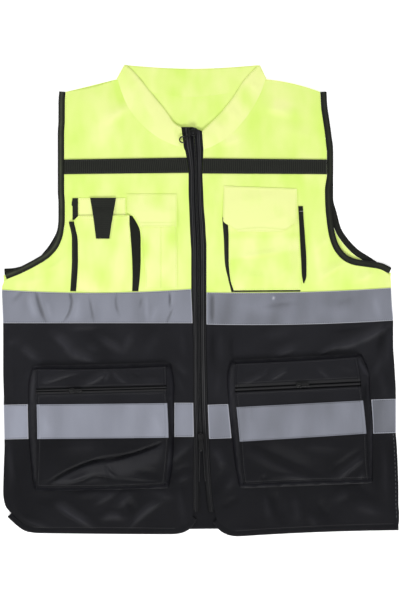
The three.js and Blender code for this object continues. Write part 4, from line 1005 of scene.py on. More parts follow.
for side, front in fronts.items():
    upper, lower = split_at(front.grid, front.row(JOIN))
    cloth(f"front_{side}_yellow", upper, PANEL_THICKNESS, yellow, [f"front_{side}_upper"],
          ["back_yellow"], tone=tone_of(upper, front, YELLOW_TONE, YELLOW_GAIN))
    cloth(f"front_{side}_black", lower, PANEL_THICKNESS, black, [f"front_{side}_lower"],
          ["back_black"], tone=tone_of(lower, front, painted_sheen(lower[..., 1]), BLACK_GAIN))

# %% [markdown]
# ## The back
#
# The back is one wide piece with a hollowed neck, yellow above and black below like the fronts.
# It is what rests on the table, so it is flat, except where it rides over its own reflective
# bands, which are sewn to its outside and so lie beneath it. Most of it is hidden; it shows
# inside the neck and in the gap beside the left armhole.

# %% The back
BACK_COLUMNS = "in_x in_y out_x out_y neck band bow"
BACK_ARMHOLES = [
    (-203, 314, 180, 314, 1), (-203, 294, 181, 294, 0.7), (-203, 264, 184, 264, 0.35),
    (-203, 227, 190, 227, 0.08), (-203, 189, 190, 189), (-203, 154, 190, 154),
    (-203, 129, 195.5, 130), (-206, 105, 202.5, 105), (-215, 85, 213, 88), (-228, 67, 231, 69),
    (-242, 53, 248, 58), (-261, 44, 264, 48), (-282, 39, 276, 43), (-297, 38, 287, 41),
]
NECK_START, NECK_STOP = 0.2037, 0.7859       # shares of the top row's width
NECK_RISE, NECK_DEPTH = 19.3, 27.0
BACK_TOP = CLOTH
BACK_HEM_BOW = 4
BACK_FOLDS = [               # ridges only: the table is under it
    (-240, 20, -150, 60, 14, 1.6, 3, 0.3), (-120, 250, -60, 180, 18, 1.5, -5),
    (70, 260, 110, 170, 16, 1.5, 4), (-90, 110, 40, 140, 20, 1.4, 6),
    (150, 60, 230, 20, 12, 1.6, -3, 0.3), (-270, -70, -200, -100, 12, 1.8, 2, 0.3),
    (-150, -60, -60, -120, 14, 1.7, -4, 0.3), (40, -80, 130, -50, 12, 1.6, 3, 0.3),
    (180, -60, 260, -110, 13, 1.8, -3, 0.3), (-250, -230, -170, -290, 14, 1.8, 4, 0.3),
    (-120, -250, -30, -230, 12, 1.5, -3), (20, -260, 90, -320, 13, 1.8, 3, 0.3),
    (140, -240, 220, -270, 12, 1.7, -2, 0.3), (240, -230, 270, -310, 10, 1.4),
]


def neck_profile(u):
    """Height of the back's top edge over the line between its shoulder tips: two straight
    slopes up to the neck points, and the cosine hollow of the neck between them."""
    across = np.clip((2 * u - NECK_START - NECK_STOP) / (NECK_STOP - NECK_START), -1, 1)
    hollow = NECK_RISE - NECK_DEPTH * np.cos(across * math.pi / 2) ** 0.8
    rising = NECK_RISE * u / NECK_START
    falling = NECK_RISE * (1 - u) / (1 - NECK_STOP)
    return np.where(u < NECK_START, rising, np.where(u > NECK_STOP, falling, hollow))


def make_back():
    """The back's grid, the place of its side seams' rows in it, and its relief: ridges as high
    as the room below the fronts lets them be, which fade out within SETTLE of its edges."""
    right = full_rows(FRONT_COLUMNS, RIGHT_FRONT)[ARMHOLE_END["right"] + 1:]
    left = full_rows(FRONT_COLUMNS, LEFT_FRONT)[ARMHOLE_END["left"] + 1:]
    sides = [(*r[2:4], *l[2:4], 0, r[-1]) for r, l in zip(right, left)]
    sides[-1] = (*sides[-1], BACK_HEM_BOW)
    table, at = finer(BACK_COLUMNS, BACK_ARMHOLES + sides, 5.0)
    u = np.linspace(0, 1, 131)
    x, y = lay_out(table, u)
    y = y + table["neck"][:, None] * neck_profile(u)[None, :]
    over_table = BAND_LIFT * table["band"][:, None]
    above = np.where(x < 0, right_front.relief(x, y), left_front.relief(x, y))
    room = FRONT_TOP - PANEL_THICKNESS - BACK_TOP - SEAM - over_table + np.minimum(above, 0)
    relief = np.clip(fold_height(BACK_FOLDS, x, y), 0, np.maximum(room, 0))
    relief = relief * smooth(from_edges(grid_of(x, y, 0)) / SETTLE)
    return grid_of(x, y, BACK_TOP + over_table + relief), at[len(BACK_ARMHOLES):], relief


back_grid, back_at, back_relief = make_back()
back_upper, back_lower = split_at(back_grid, back_at[JOIN])
cloth("back_yellow", back_upper, CLOTH, yellow, ["back_upper"], ["table"], tone=0.1)
cloth("back_black", back_lower, CLOTH, black, ["back_lower"], ["table"], tone=0.0)
for name, first, last in (("upper", 1, 3), ("lower", 8, 9)):
    rows = slice(back_at[first], back_at[last] + 1)
    on_table = grid_of(*plan(back_grid[rows]), 1.0 + back_relief[rows])
    cloth(f"band_back_{name}", on_table, 1.0, silver, [f"{name}_band_back"], ["table"], tone=0.8)

# %% [markdown]
# ## Bindings and hems
#
# The armholes are bound with bias tape, folded over the raw edge and sewn down: a low rounded
# strip just outside the edge. The hems are bound with the black cloth itself. A binding is a
# flat oval profile carried along the edge of its panel. Its inner side is held down by the
# stitches, so the profile is a little thinner there.

# %% Bindings
BINDING_WIDTH, BINDING_THICKNESS, BACK_BINDING_THICKNESS = 9.5, 1.9, 1.5
HEM_WIDTH, HEM_GRIP = 7.5, 0.9     # the hem's cloth is folded over the raw edge by its grip


def outline(width, length, power=4.0, count=40):
    """A rounded rectangle: the superellipse |2x/width|^p + |2y/length|^p = 1."""
    turn = np.linspace(0, math.tau, count, endpoint=False)
    c, s = np.cos(turn), np.sin(turn)
    return np.stack([width / 2 * np.sign(c) * np.abs(c) ** (2 / power),
                     length / 2 * np.sign(s) * np.abs(s) ** (2 / power)], axis=-1)


def oval(width, thickness, outward, grip=0.0):
    """A flat oval from -`grip` to `width` across, pinched where the seam holds it. `outward` is
    1 or -1, the side of the path that it lies on."""
    across, above = outline(width + grip, thickness, 2.6, 18).T
    across = across + (width - grip) / 2
    pinch = 1 - 0.32 * np.exp(-(((across - 1.9) / 1.0) ** 2))
    return np.stack([outward * (SEAM + across), above * pinch], axis=-1)


def binding_height(path):
    """A front binding's middle lies at its cloth's, but never in the back's binding."""
    raised = path.copy()
    least = BACK_BINDING_THICKNESS + SEAM + BINDING_THICKNESS / 2
    raised[:, 2] = np.maximum(path[:, 2] - CLOTH / 2, least)
    return raised


def straight_end(path):
    """The last two points of a path go on as the two before them, so its strip's end is square
    to the strip."""
    path = path.copy()
    path[-2:] = path[-3] + (path[-3] - path[-4]) * np.array([[1], [2]])
    return path


# The right front's binding gets the full painted highlight and the left one's a weaker one; the
# back bindings get the trim, with none, so they read as in shade.
for (side, front), column, finish in zip(fronts.items(), (0, -1), (binding, shaded_binding)):
    armhole = front.grid[: front.at[ARMHOLE_END[side] + 1] + 1, -1]
    path = binding_height(straight_end(respaced(armhole, 3.0)[:-2]))
    edge_strip(f"binding_front_{side}", path,
               oval(BINDING_WIDTH, BINDING_THICKNESS, -front.sign), finish,
               [f"armhole_binding_front_{side}"])
    armhole = back_grid[: back_at[0], column].copy()
    armhole[:, 2] = BACK_BINDING_THICKNESS / 2
    edge_strip(f"binding_back_{side}", straight_end(respaced(armhole, 3.0)[:-2]),
               oval(BINDING_WIDTH, BACK_BINDING_THICKNESS, -front.sign), trim,
               [f"armhole_binding_back_{side}"])


def hem_path(grid, start, end):
    """Down `start` rows of the inner edge, along the last row, and up `end` rows of the outer
    edge."""
    path = [grid[-1 - start:-1, 0], grid[-1], grid[-1 - end:-1, -1][::-1]]
    return respaced(np.concatenate(path), 3.0)


def make_hems():
    """A hem starts two rows of the table above the last. Only the right front's is rounded at
    the side seam too."""
    for front in fronts.values():
        rows = front.at[-1] - front.at[-3]
        path = hem_path(front.grid, rows, rows if front is right_front else 0)
        edge_strip(f"hem_front_{front.side}", binding_height(evened(path, 3, False)),
                   oval(HEM_WIDTH, BINDING_THICKNESS, front.sign, HEM_GRIP), black,
                   [f"hem_binding_front_{front.side}"])
    level = grid_of(*plan(back_grid), BACK_BINDING_THICKNESS / 2)
    path = evened(hem_path(level, back_at[-1] - back_at[-3], 0), 2, False)
    edge_strip("hem_back", path, oval(HEM_WIDTH, BACK_BINDING_THICKNESS, 1, HEM_GRIP), black,
               ["hem_binding_back"])


make_hems()

# %% [markdown]
# ## The collar
#
# The collar is a doubled stand-up strip. Laid flat, it folds at its two ends: the front half lies
# over the fronts' neckline, the back half under it, flat on the table. Two separate strips would
# leave gaps at the ends, so it is one loop of sections: seam point, free edge point and the
# direction in which the outer face looks, which turns over in the folds. The free edge is
# rounded, as turned cloth is.

# %% Collar
COLLAR_EDGE = {              # free edge beside the rows that end on the neck
    "right": [(-113, 355, 2.6), (-102, 346, 2.6), (-90, 332, 2.6), (-74, 312, 2.5),
              (-54, 288, 2.6), (-38, 266, 3.9), (-29, 261, 4.6)],
    "left": [(88, 354, 2.6), (77, 344, 2.6), (63, 328, 2.6), (47, 303, 2.5),
             (26, 278, 2.6), (10, 262, 3.9), (2.4, 255, 4.6)],
}
COLLAR, COLLAR_ROLL, FOLD_HEIGHT = 1.5, 0.8, 2.6
COLLAR_SEAM = 0.04           # the neckline's seam is pressed, so it hardly shows
NECK_MIDDLE, HALF_NECK = -13.5, 112                      # of the back's neckline
EDGE_HEIGHT, EDGE_SAG, EDGE_SHARE = 354.5, 5.5, 0.9      # of the free edge behind the neck
COLLAR_FOLDS = [
    (-106, 322, -84, 336, 9, 0.8), (-80, 280, -62, 300, 10, 0.7), (-52, 250, -44, 274, 8, 0.8),
    (-40, 234, -38, 268, 5, 1.1, 0, 0.3), (86, 318, 72, 330, 8, 0.8), (58, 270, 42, 290, 9, 0.9),
    (34, 252, 24, 268, 7, 0.7), (10, 234, 9, 258, 5, 1.0, 0, 0.3),
]


def wing(front):
    """Seam and free edge of the collar's half over one front, from the shoulder down."""
    end = front.at[NECK_END]
    q = np.interp(np.arange(end + 1), front.at[: NECK_END + 1], np.arange(NECK_END + 1))
    edge = through(np.arange(NECK_END + 1), COLLAR_EDGE[front.side], q)
    seam = front.grid[: end + 1, 0].copy()
    away = (edge - seam)[:, :2]
    play = np.full((end + 1, 1), COLLAR_SEAM)
    play[0] = 2 * SEAM
    seam[:, :2] += unit(away) * play
    seam[:, 2] = np.maximum(seam[:, 2] - CLOTH / 2, FOLD_HEIGHT)
    return seam, edge, np.zeros(end + 1)


def fold_over(line, sign):
    """A line carried round the fold: a half circle from the front layer to the back one."""
    turn = np.linspace(0, np.pi, 11)[1:]
    radius = (FOLD_HEIGHT - COLLAR / 2) / 2
    return np.stack([line[0] + sign * radius * np.sin(turn), np.full(10, line[1]),
                     COLLAR / 2 + radius * (1 + np.cos(turn))], axis=-1), turn * sign


def behind():
    """The half behind the neck. Its seam follows the back's top edge; its free edge is EDGE_SHARE
    as wide and sags in its middle by a cosine."""
    u = np.linspace(NECK_START + 0.01, NECK_STOP - 0.01, 80)
    in_x, tips, out_x = BACK_ARMHOLES[0][:3]
    x, y = mix(in_x, out_x, u), tips + neck_profile(u)
    off = x - NECK_MIDDLE
    edge_y = EDGE_HEIGHT - EDGE_SAG * np.cos(off / HALF_NECK * np.pi / 2)
    return (grid_of(x, y + COLLAR_SEAM, COLLAR / 2),
            grid_of(NECK_MIDDLE + 1 + EDGE_SHARE * off, edge_y, COLLAR / 2), np.full(80, np.pi))


def make_collar():
    """The loop of sections: up the right wing, over its fold, behind the neck, over the other
    fold and down the left wing. A section bulges by a sine, and a quarter ellipse rounds its
    last tenth."""
    wings, bends = [wing(front) for front in fronts.values()], []
    for front, (seam, edge, _) in zip(fronts.values(), wings):
        seam, turn = fold_over(seam[0], front.sign)
        bends.append((seam, fold_over(edge[0], front.sign)[0], turn))
    ordered = [[a[::-1] for a in wings[0]], bends[0], behind(), [a[::-1] for a in bends[1]],
               wings[1]]
    seam, edge, turn = (np.concatenate([part[k] for part in ordered]) for k in range(3))
    t = np.concatenate([np.linspace(0, 0.9, 14), [0.93, 0.955, 0.975, 0.99, 1]])
    base = mix(seam[:, None], edge[:, None], t[:, None])
    over = np.maximum(np.cos(turn), 0)[:, None]
    folds = fold_height(COLLAR_FOLDS, *plan(base))
    base[..., 2] += over * (COLLAR_ROLL * np.sin(np.pi * t) + np.maximum(folds, 0))
    rounding = np.sqrt(1 - 0.99 * np.clip((t - 0.9) / 0.1, 0, 1) ** 2)
    faces = np.stack([np.sin(turn), np.zeros_like(turn), np.cos(turn)], axis=-1)
    half = faces[:, None] * (COLLAR / 2 * rounding)[None, :, None]
    # The tone paints the front layer lighter than the back one, which lies in shade inside the
    # neck, and paler towards its rounded free edge: painted highlight and shade, with a random
    # swell and the painted streaks.
    patches = swell(*plan(base), 44, 6) + fold_height(PAINTED_YELLOW_STREAKS, *plan(base))
    tone = 0.22 + 0.3 * patches + over * (0.42 + 0.35 * patches + 0.1 * smooth((t - 0.7) / 0.3))
    upper = base + half
    cloth("collar_yellow", upper, COLLAR, yellow, ["collar"], ["back_yellow", "table"],
          tone=tone, lower=base - half)
    right, left = (len(seam) for seam, _, _ in wings)
    for part, end in ((upper[:right], "top"), (upper[-left:], "bottom")):
        sew_along("yellow", part, "outer", 2.0)
        sew_along("yellow", part, end, 2.2, 3)


make_collar()

# %% [markdown]
# ## Reflective bands and webbing
#
# The bands are sewn on flat, so they take the front's own folds and stay a seam's play above it.
# The lower one stops at the hip pockets and goes on beyond them. The webbing over the chest is
# thicker, and its weft makes ribs across it, each about 3 mm wide. They could be a bump in the
# finish, but then its edges would be smooth, so they are in the mesh.

# %% Bands
TAPE_THICKNESS = 0.8
TAPE_RISE = SEAM + TAPE_THICKNESS
SELVAGE_WIDTH = 0.4
HIP_COLUMNS = "in_x in_y out_x out_y bow foot_in_x foot_in_y foot_out_x foot_out_y"
HIP_POCKETS = {
    "right": [
        (-52, -99, -247, -103, -2, -45, -93, -251, -98),
        (-51, -115, -247, -118, 0, -41, -112, -258, -118),
        (-51, -127, -247, -132, 0, -39, -127, -259, -132),
        (-51, -136, -247, -141, 0, -39, -137, -259, -142),
        (-50, -154, -246, -156, 0, -40, -154, -259, -157),
        (-48, -206, -245, -208, 0, -40, -206, -258, -208),
        (-51, -250, -246, -253, 0, -42, -250, -254, -253),
        (-54, -277, -247, -281, -2, -48, -283, -250, -287),
    ],
    "left": [
        (53, -95, 235, -85, -1, 46, -90, 242, -80),
        (52, -112, 238, -103, 0, 40, -110, 252, -101),
        (52, -126, 240, -117, 0, 40, -126, 255, -116),
        (52, -138, 241, -129, 0, 41, -138, 255, -129),
        (54, -160, 244, -150, 0, 43, -159, 256, -149),
        (59, -212, 249, -200, 0, 48, -210, 259, -200),
        (62, -250, 251, -243, 0, 52, -248, 259, -243),
        (65, -276, 253, -269, 1, 59, -283, 259, -275),
    ],
}
BAND_STOP = 0.8              # the lower band ends this far from a pocket's gusset
BAND_TONES = {               # the share of the lighter silver: they face the light differently
    "right_upper": 0.62, "right_lower_inner": 0.63, "right_lower_outer": 0.9,
    "left_upper": 0.43, "left_lower_inner": 0.49, "left_lower_outer": 0.18,
    "hip_right": 0.7, "hip_left": 0.45,
}


def make_band(front, name, first, last, start, stop, node):
    """Tape on a front between two rows of its side seam. `start` and `stop` are shares of the
    rows' width, one for each row or one for all."""
    rows = slice(front.row(first), front.row(last) + 1)
    start, stop = (np.broadcast_to(v, rows.stop - rows.start)[:, None] for v in (start, stop))
    columns = max(16, round(float((stop - start).mean()) * len(front.u) * 2))
    grid = front.points(rows, mix(start, stop, np.linspace(0, 1, columns)))
    grid = shifted(grid, dz=TAPE_RISE)
    # The band's relief paints its creases darker and its crests lighter: painted shade and
    # highlight.
    tone = tone_of(grid, front, BAND_TONES[name], 0.22) + crumpled(grid)
    tone = np.where(from_edges(grid) < SELVAGE_WIDTH, 2, tone)
    under = "yellow" if first < JOIN else "black"
    cloth(f"band_{name}", grid, TAPE_THICKNESS, silver, [node],
          [f"front_{front.side}_{under}"], tone=tone)
    sew_along("black", grid, "top bottom", 1.5, 1)


def foot_share(front, first, last, column, gap):
    """Shares of the front's rows at which they meet the foot of its hip pocket."""
    pocket, _ = finer(HIP_COLUMNS, HIP_POCKETS[front.side], 3.0)
    rows = slice(front.row(first), front.row(last) + 1)
    table = {name: values[rows] for name, values in front.table.items()}
    y = (table["in_y"] + table["out_y"]) / 2
    x = np.interp(-y, -pocket[f"{column}_y"], pocket[f"{column}_x"])
    return (x + gap * front.sign - table["in_x"]) / (table["out_x"] - table["in_x"])


for side, front in fronts.items():
    make_band(front, f"{side}_upper", 1, 3, 0.0, 1.0, f"upper_band_{side}")
    stop, start = (foot_share(front, 8, 9, end, gap)
                   for end, gap in (("foot_in", -BAND_STOP), ("foot_out", BAND_STOP)))
    make_band(front, f"{side}_lower_inner", 8, 9, 0.0, stop, f"lower_band_{side}_inner")
    make_band(front, f"{side}_lower_outer", 8, 9, start, 1.0, f"lower_band_{side}_outer")

# %% Webbing
RIB, RIB_HEIGHT = 2.9, 0.4
WEBBING_THICKNESS = 1.1


def ribbed(grid, run, share=1.0):
    """Ribs across a strip: the height of |sin| along its run, a share of RIB_HEIGHT. Returns the
    strip's tone too, which follows the ribs' height: a painted highlight on their crests."""
    rib = np.broadcast_to(np.abs(np.sin(np.pi * run / RIB)), grid.shape[:2])
    raised = grid.copy()
    raised[..., 2] += share * RIB_HEIGHT * rib
    return raised, share * (rib ** 2 - 0.5) + 0.4


def make_webbing(front):
    """The webbing of one front, between two rows of the table."""
    rows = slice(front.at[NECK_END + 1], front.at[NECK_END + 2] + 1)
    span = abs(front.table["out_x"][rows] - front.table["in_x"][rows]).mean()
    u = np.linspace(0, 1, round(span / RIB * 8) + 1)
    grid = shifted(front.points(rows, u), dz=SEAM + WEBBING_THICKNESS)
    grid[[0, -1], :, 2] -= 0.25
    ribs, tone = ribbed(grid, u * span)
    cloth(f"webbing_{front.side}", ribs, WEBBING_THICKNESS, webbing,
          [f"chest_webbing_{front.side}"], [f"front_{front.side}_yellow"], tone=tone)
    sew_along("black", shifted(grid, dz=RIB_HEIGHT), "top bottom", 2.0, 1)


for front in fronts.values():
    make_webbing(front)

# %% [markdown]
# ## The main zip
#
# A coil zip has a nylon wire wound along the inner edge of each tape, and the slider presses the
# windings of one side between those of the other. From above, a row of little bars. A strip
# with a bumpy finish would do from afar, but the wire casts its own small shadows near by, so
# each coil is a helix: its path goes round an ellipse while it runs down the tape, and a small
# circle is carried along it. Below the lower slider the tapes part.

# %% Zip tapes and coils
ZIP = np.array([             # y, inner edge of the right tape, inner edge of the left tape
    (262, -11, -10.7), (236, -9, -8.7), (216, -7.9, -7.6), (192, -7, -6.7), (166, -6.7, -6.4),
    (136, -5.7, -5.4), (78, -3.3, -3), (20, -3, -2.7), (-34, -2.8, -2.5), (-154, -1.6, -1.3),
    (-200, 0.3, 0.6), (-215, 0.1, 2.4), (-270, -1, 6.2), (-333, -1, 13.4),
])
TAPES_END = -320
SEAM_PLAY, COIL_PLAY = 0.06, 0.14        # what a tape stays off its panel and its coil
COIL_PITCH, COIL_WIRE = 1.45, 0.29
COIL_WIDTH, COIL_HEIGHT, COIL_GAP = 1.8, 1.5, 0.05
COIL_START, COIL_END = 258, -272
TAPE_POINT = {"right": 0, "left": 5}     # how far the tape's top rises towards the coil
TAPE_SECTION = np.array([    # share of the way to the coil, height and tone, a painted highlight on folds
    (0, -0.6, 0), (0.04, 0, 0), (0.1, 0.3, 0), (0.2, 0.35, 0.05), (0.31, 0.5, 0.1),
    (0.36, 0.9, 2.0), (0.42, 0.7, 1.5), (0.46, 0.3, 0.1), (0.54, 0.25, 0.2), (0.6, 0.3, 1.0),
    (0.66, 0.2, 0.2), (0.74, -0.5, 0), (0.86, -0.7, 0), (0.94, -0.5, 0), (1, -0.4, 0),
]).T


def zip_edge(side, y):
    """Where the inner edge of a tape is at a height."""
    return through(-ZIP[:, 0], ZIP[:, 1 if side == "right" else 2], -np.asarray(y, float))


def make_tape(front):
    """A tape: raised where it is stitched down, and low beside its coil. Its painted highlights
    are weaker below the lower band, and its top runs out towards the coil in an exponential."""
    free = np.array(COLLAR_EDGE[front.side][-1], float)
    edge = np.concatenate([[free], front.grid[front.at[NECK_END]:, 0]])
    y = np.arange(free[1], TAPES_END, -3.0)
    outer = np.interp(-y, -edge[:, 1], edge[:, 0]) - front.sign * SEAM_PLAY
    inner = zip_edge(front.side, y) - front.sign * COIL_PLAY
    v, lift, tone = TAPE_SECTION
    x = mix(outer[:, None], inner[:, None], v)
    relief = front.relief(outer, y)[:, None] * (1 - v) ** 1.5
    end = TAPE_POINT[front.side] * v * np.exp((y[:, None] - y[0]) / 9)
    grid = grid_of(x, y[:, None] + end, FRONT_TOP + lift + relief)
    tone = tone * (0.25 + 0.75 * smooth((grid[..., 1] + 210) / 60))
    tone = tone * (1 + 0.5 * swell(x, grid[..., 1], 40, 5))
    cloth(f"zip_tape_{front.side}_cloth", grid, 0.9, zip_tape,
          [f"zip_tape_{front.side}"], ["back_yellow", "back_black"], tone=tone)
    sew_along("black", grid, "inner", 1.9, 2)


def make_coil(front):
    """A coil: a small circle carried along a helix, whose cross-section is an ellipse."""
    y = np.arange(COIL_START, COIL_END, -COIL_PITCH / 12)
    turn = (COIL_START - y) / COIL_PITCH * math.tau
    radius = COIL_WIDTH / 2 - COIL_GAP / 2 - COIL_WIRE
    middle = zip_edge(front.side, y) + front.sign * (COIL_WIDTH + COIL_GAP) / 2
    x = middle + front.sign * radius * np.cos(turn)
    level = FRONT_TOP + SEAM + COIL_HEIGHT / 2
    z = level + (COIL_HEIGHT / 2 - COIL_WIRE) * np.sin(turn)
    around = np.linspace(0, math.tau, 6, endpoint=False)
    circle = COIL_WIRE * np.stack([np.cos(around), np.sin(around)], axis=-1)
    points, faces = tube_parts(carried(grid_of(x, y, z), circle))
    piece = put_mesh(f"coil_{front.side}", points, faces, nylon, sharp=80)
    dress(piece, [f"zip_coil_{front.side}"])


for front in fronts.values():
    make_tape(front)
    make_coil(front)
print("coils and tapes:", len(made), "pieces so far")

# %% [markdown]
# ## The hip pockets
#
# A hip pocket is a box of cloth: a flat face held off the front by a gusset all round, with a
# zip across it near the top and reflective tape below. Empty, its gusset slumps outward into a
# soft tube. It could be a plain slope, but the tube is what catches the light. So the gusset's
# section is part of an ellipse from its foot to the edge of the face, dented a little along its
# run, and the face's own edge stands up where both are stitched together.

# %% Gussets
GUSSET_THICKNESS = 1.0
STRAIGHTER = 0.3             # share by which a gusset's section is a straight slope


def tucked(rim, foot, share, drop):
    """A gusset's upper edge: a share of the way from the rim to its foot, and a drop lower."""
    return shifted(rim + (foot - rim) * np.array([share, share, 0]), dz=-drop)


def gusset(rim, foot, dent, seed=1, steps=13, slumped=False):
    """Outer and inner grid of a gusset, from `foot` on the front up to `rim`, point for point.

    At turn a the outer face is foot + (1 - cos a)(rim - foot) level and sin a (rim - foot) up,
    mixed with a straight slope. Dents up to `dent` deep follow each other along the run, most
    of all half way up. Where a `slumped` gusset runs across the vest it is hollow instead:
    foot + sin a level and 1 - cos a up.
    """
    across = (foot - rim) * np.array([1, 1, 0])
    reach, away = np.linalg.norm(across, axis=1), unit(across)
    rise = rim[:, 2] - foot[:, 2]
    run = lengths(rim)
    whole = math.tau * np.round(run[-1] / np.array([19.0, 31.0, 12.0])) / run[-1]
    phase = np.random.default_rng(seed).uniform(0, math.tau, 3)
    waves = (np.sin(run[:, None] * whole + phase) * np.array([0.45, 0.35, 0.2])).sum(axis=1)
    share = np.linspace(0, 1, steps)[:, None]
    turn = share * np.pi / 2
    hollow = smooth(2.2 * np.abs(away[:, 1]) - 0.9) if slumped else np.zeros(len(rim))
    grids = []
    for inward in (0.0, 1.0):
        wide = reach - inward * np.minimum(GUSSET_THICKNESS, 0.4 * reach)
        high = rise - inward * GUSSET_THICKNESS
        near = mix(np.cos(turn), 1 - np.sin(turn), hollow)
        risen = mix(np.sin(turn), 1 - np.cos(turn), hollow)
        level = wide * mix(near, 1 - share, STRAIGHTER)
        up = high * mix(risen, share, STRAIGHTER)
        bulge = dent * waves * np.sin(2 * turn) ** 2
        level, up = level + bulge * np.cos(turn), up + bulge * np.sin(turn)
        points = rim * np.array([1, 1, 0]) + away * level[..., None]
        points[..., 2] = foot[:, 2] + up
        grids.append(points)
    return grids


# %% Faces of the hip pockets
HIP_FOLDS = [
    # viewer's left: the puckers above the zip
    (-249, -124, -174, -102, 7, 2.6, 3, 0.3), (-223, -122, -186, -106, 5, -1.6, 2),
    (-178, -126, -139, -101, 8, 3.0, 5, 0.3), (-144, -120, -136, -104, 5, 1.8),
    (-133, -102, -110, -124, 6, 2.6, 3, 0.3), (-236, -106, -196, -100, 7, 1.6),
    (-88, -121, -54, -120, 7, 1.1), (-80, -103, -55, -97, 5, 1.2),
    (-104, -106, -90, -118, 7, -1.0),
    # its long fold, and the crease under it
    (-241, -288, -112, -236, 17, 4.2, -10.5, -0.82), (-162, -247, -38, -208, 17, 4.2, 6, -0.82),
    (-242, -284, -113, -232, 4, -2.2, -10.5), (-163, -243, -39, -204, 4, -2.2, 6),
    (-218, -276, -203, -281, 4, -2.2), (-207, -281, -160, -264.5, 5, -3.0, 1, 0.5),
    (-168, -265, -130, -270.5, 4.5, -2.6, -3, 0.4), (-200, -272, -168, -261, 6, 1.2),
    (-143, -247, -130, -263, 4, 1.8, 2), (-138, -247, -125, -262, 4, -1.6, 2),
    (-126, -269, -56, -275, 4, -1.4), (-96, -254, -60, -262, 10, -1.0),
    (-70, -168, -60, -200, 11, 0.6), (-240, -170, -226, -200, 12, 0.7),
    (-210, -222, -150, -216, 16, 0.7),
    # viewer's right: above the zip
    (60, -125, 96, -108, 6, 1.6, 2, 0.3), (94, -110, 104, -98, 5, 1.0),
    (102, -120, 134, -99, 7, 2.1, 1, 0.3), (173, -94, 196, -118, 6, 1.7, 2, 0.3),
    (190, -89, 236, -105, 6, 1.3, 2), (72, -101, 100, -97, 6, 0.8),
    # and below its tape
    (84, -218, 178, -260, 20, -2.6, 0, 0.1), (66, -222, 160, -268, 14, 1.3),
    (204, -268, 250, -232, 10, 2.7, 0, 0.35), (196, -256, 244, -222, 9, -1.4),
    (236, -268, 250, -254, 7, 1.8), (62, -238, 66, -268, 8, 1.2), (108, -264, 176, -266, 7, 0.9),
    (96, -262, 94, -272, 6, -1.0), (150, -216, 214, -222, 14, 0.8), (70, -150, 76, -200, 9, 0.5),
]
PAINTED_GUSSET_STREAKS = [             # painted highlights on the gussets' lit facets and corners, one painted shade
    (237, -87, 256, -116, 4, 0.9, 2), (248, -120, 248, -156, 7, -0.4),
    (256.5, -118, 258, -264, 2.5, 0.7), (-254, -100, -242, -96, 5, 0.7),
    (-250, -112, -254, -150, 4, 0.4), (-44, -108, -42, -200, 4, 0.3),
    (-46, -218, -50, -262, 4, 0.4), (44, -120, 46, -200, 3, 0.3),
]
HIP_ZIP_ROWS, HIP_TAPE_ROWS = (2, 3), (4, 5)
ZIP_GAPS = {"right": (0.09, 0.6), "left": (0.4, 0.92)}
HIP_ZIP_SECTION = np.array([     # share of the way between the gaps, height and share of teeth
    (-0.14, 0.2, 0), (0, -1.7, 0), (0.1, -1.7, 0), (0.2, -0.4, 0.4), (0.34, 0.5, 1),
    (0.5, 0.8, 0.7), (0.66, 0.5, 1), (0.8, -0.4, 0.4), (0.9, -1.7, 0), (1, -1.7, 0),
    (1.14, 0.2, 0),
]).T
HIP_BULGE, HIP_DEEPEST, HIP_WIDTH = 2.5, -2.8, 190
NEAR_EDGE = (0.6, 1.2, 1.8, 2.4, 3.2, 4.2)   # where a face has more points, for its raised edge


def raised_edge(distance):
    """Relief beside a seam that stands up: a ridge along the edge and the dip of its stitches."""
    return (0.4 * np.exp(-(((distance - 0.9) / 0.8) ** 2))
            - 0.5 * np.exp(-(((distance - 3.0) / 0.9) ** 2)))


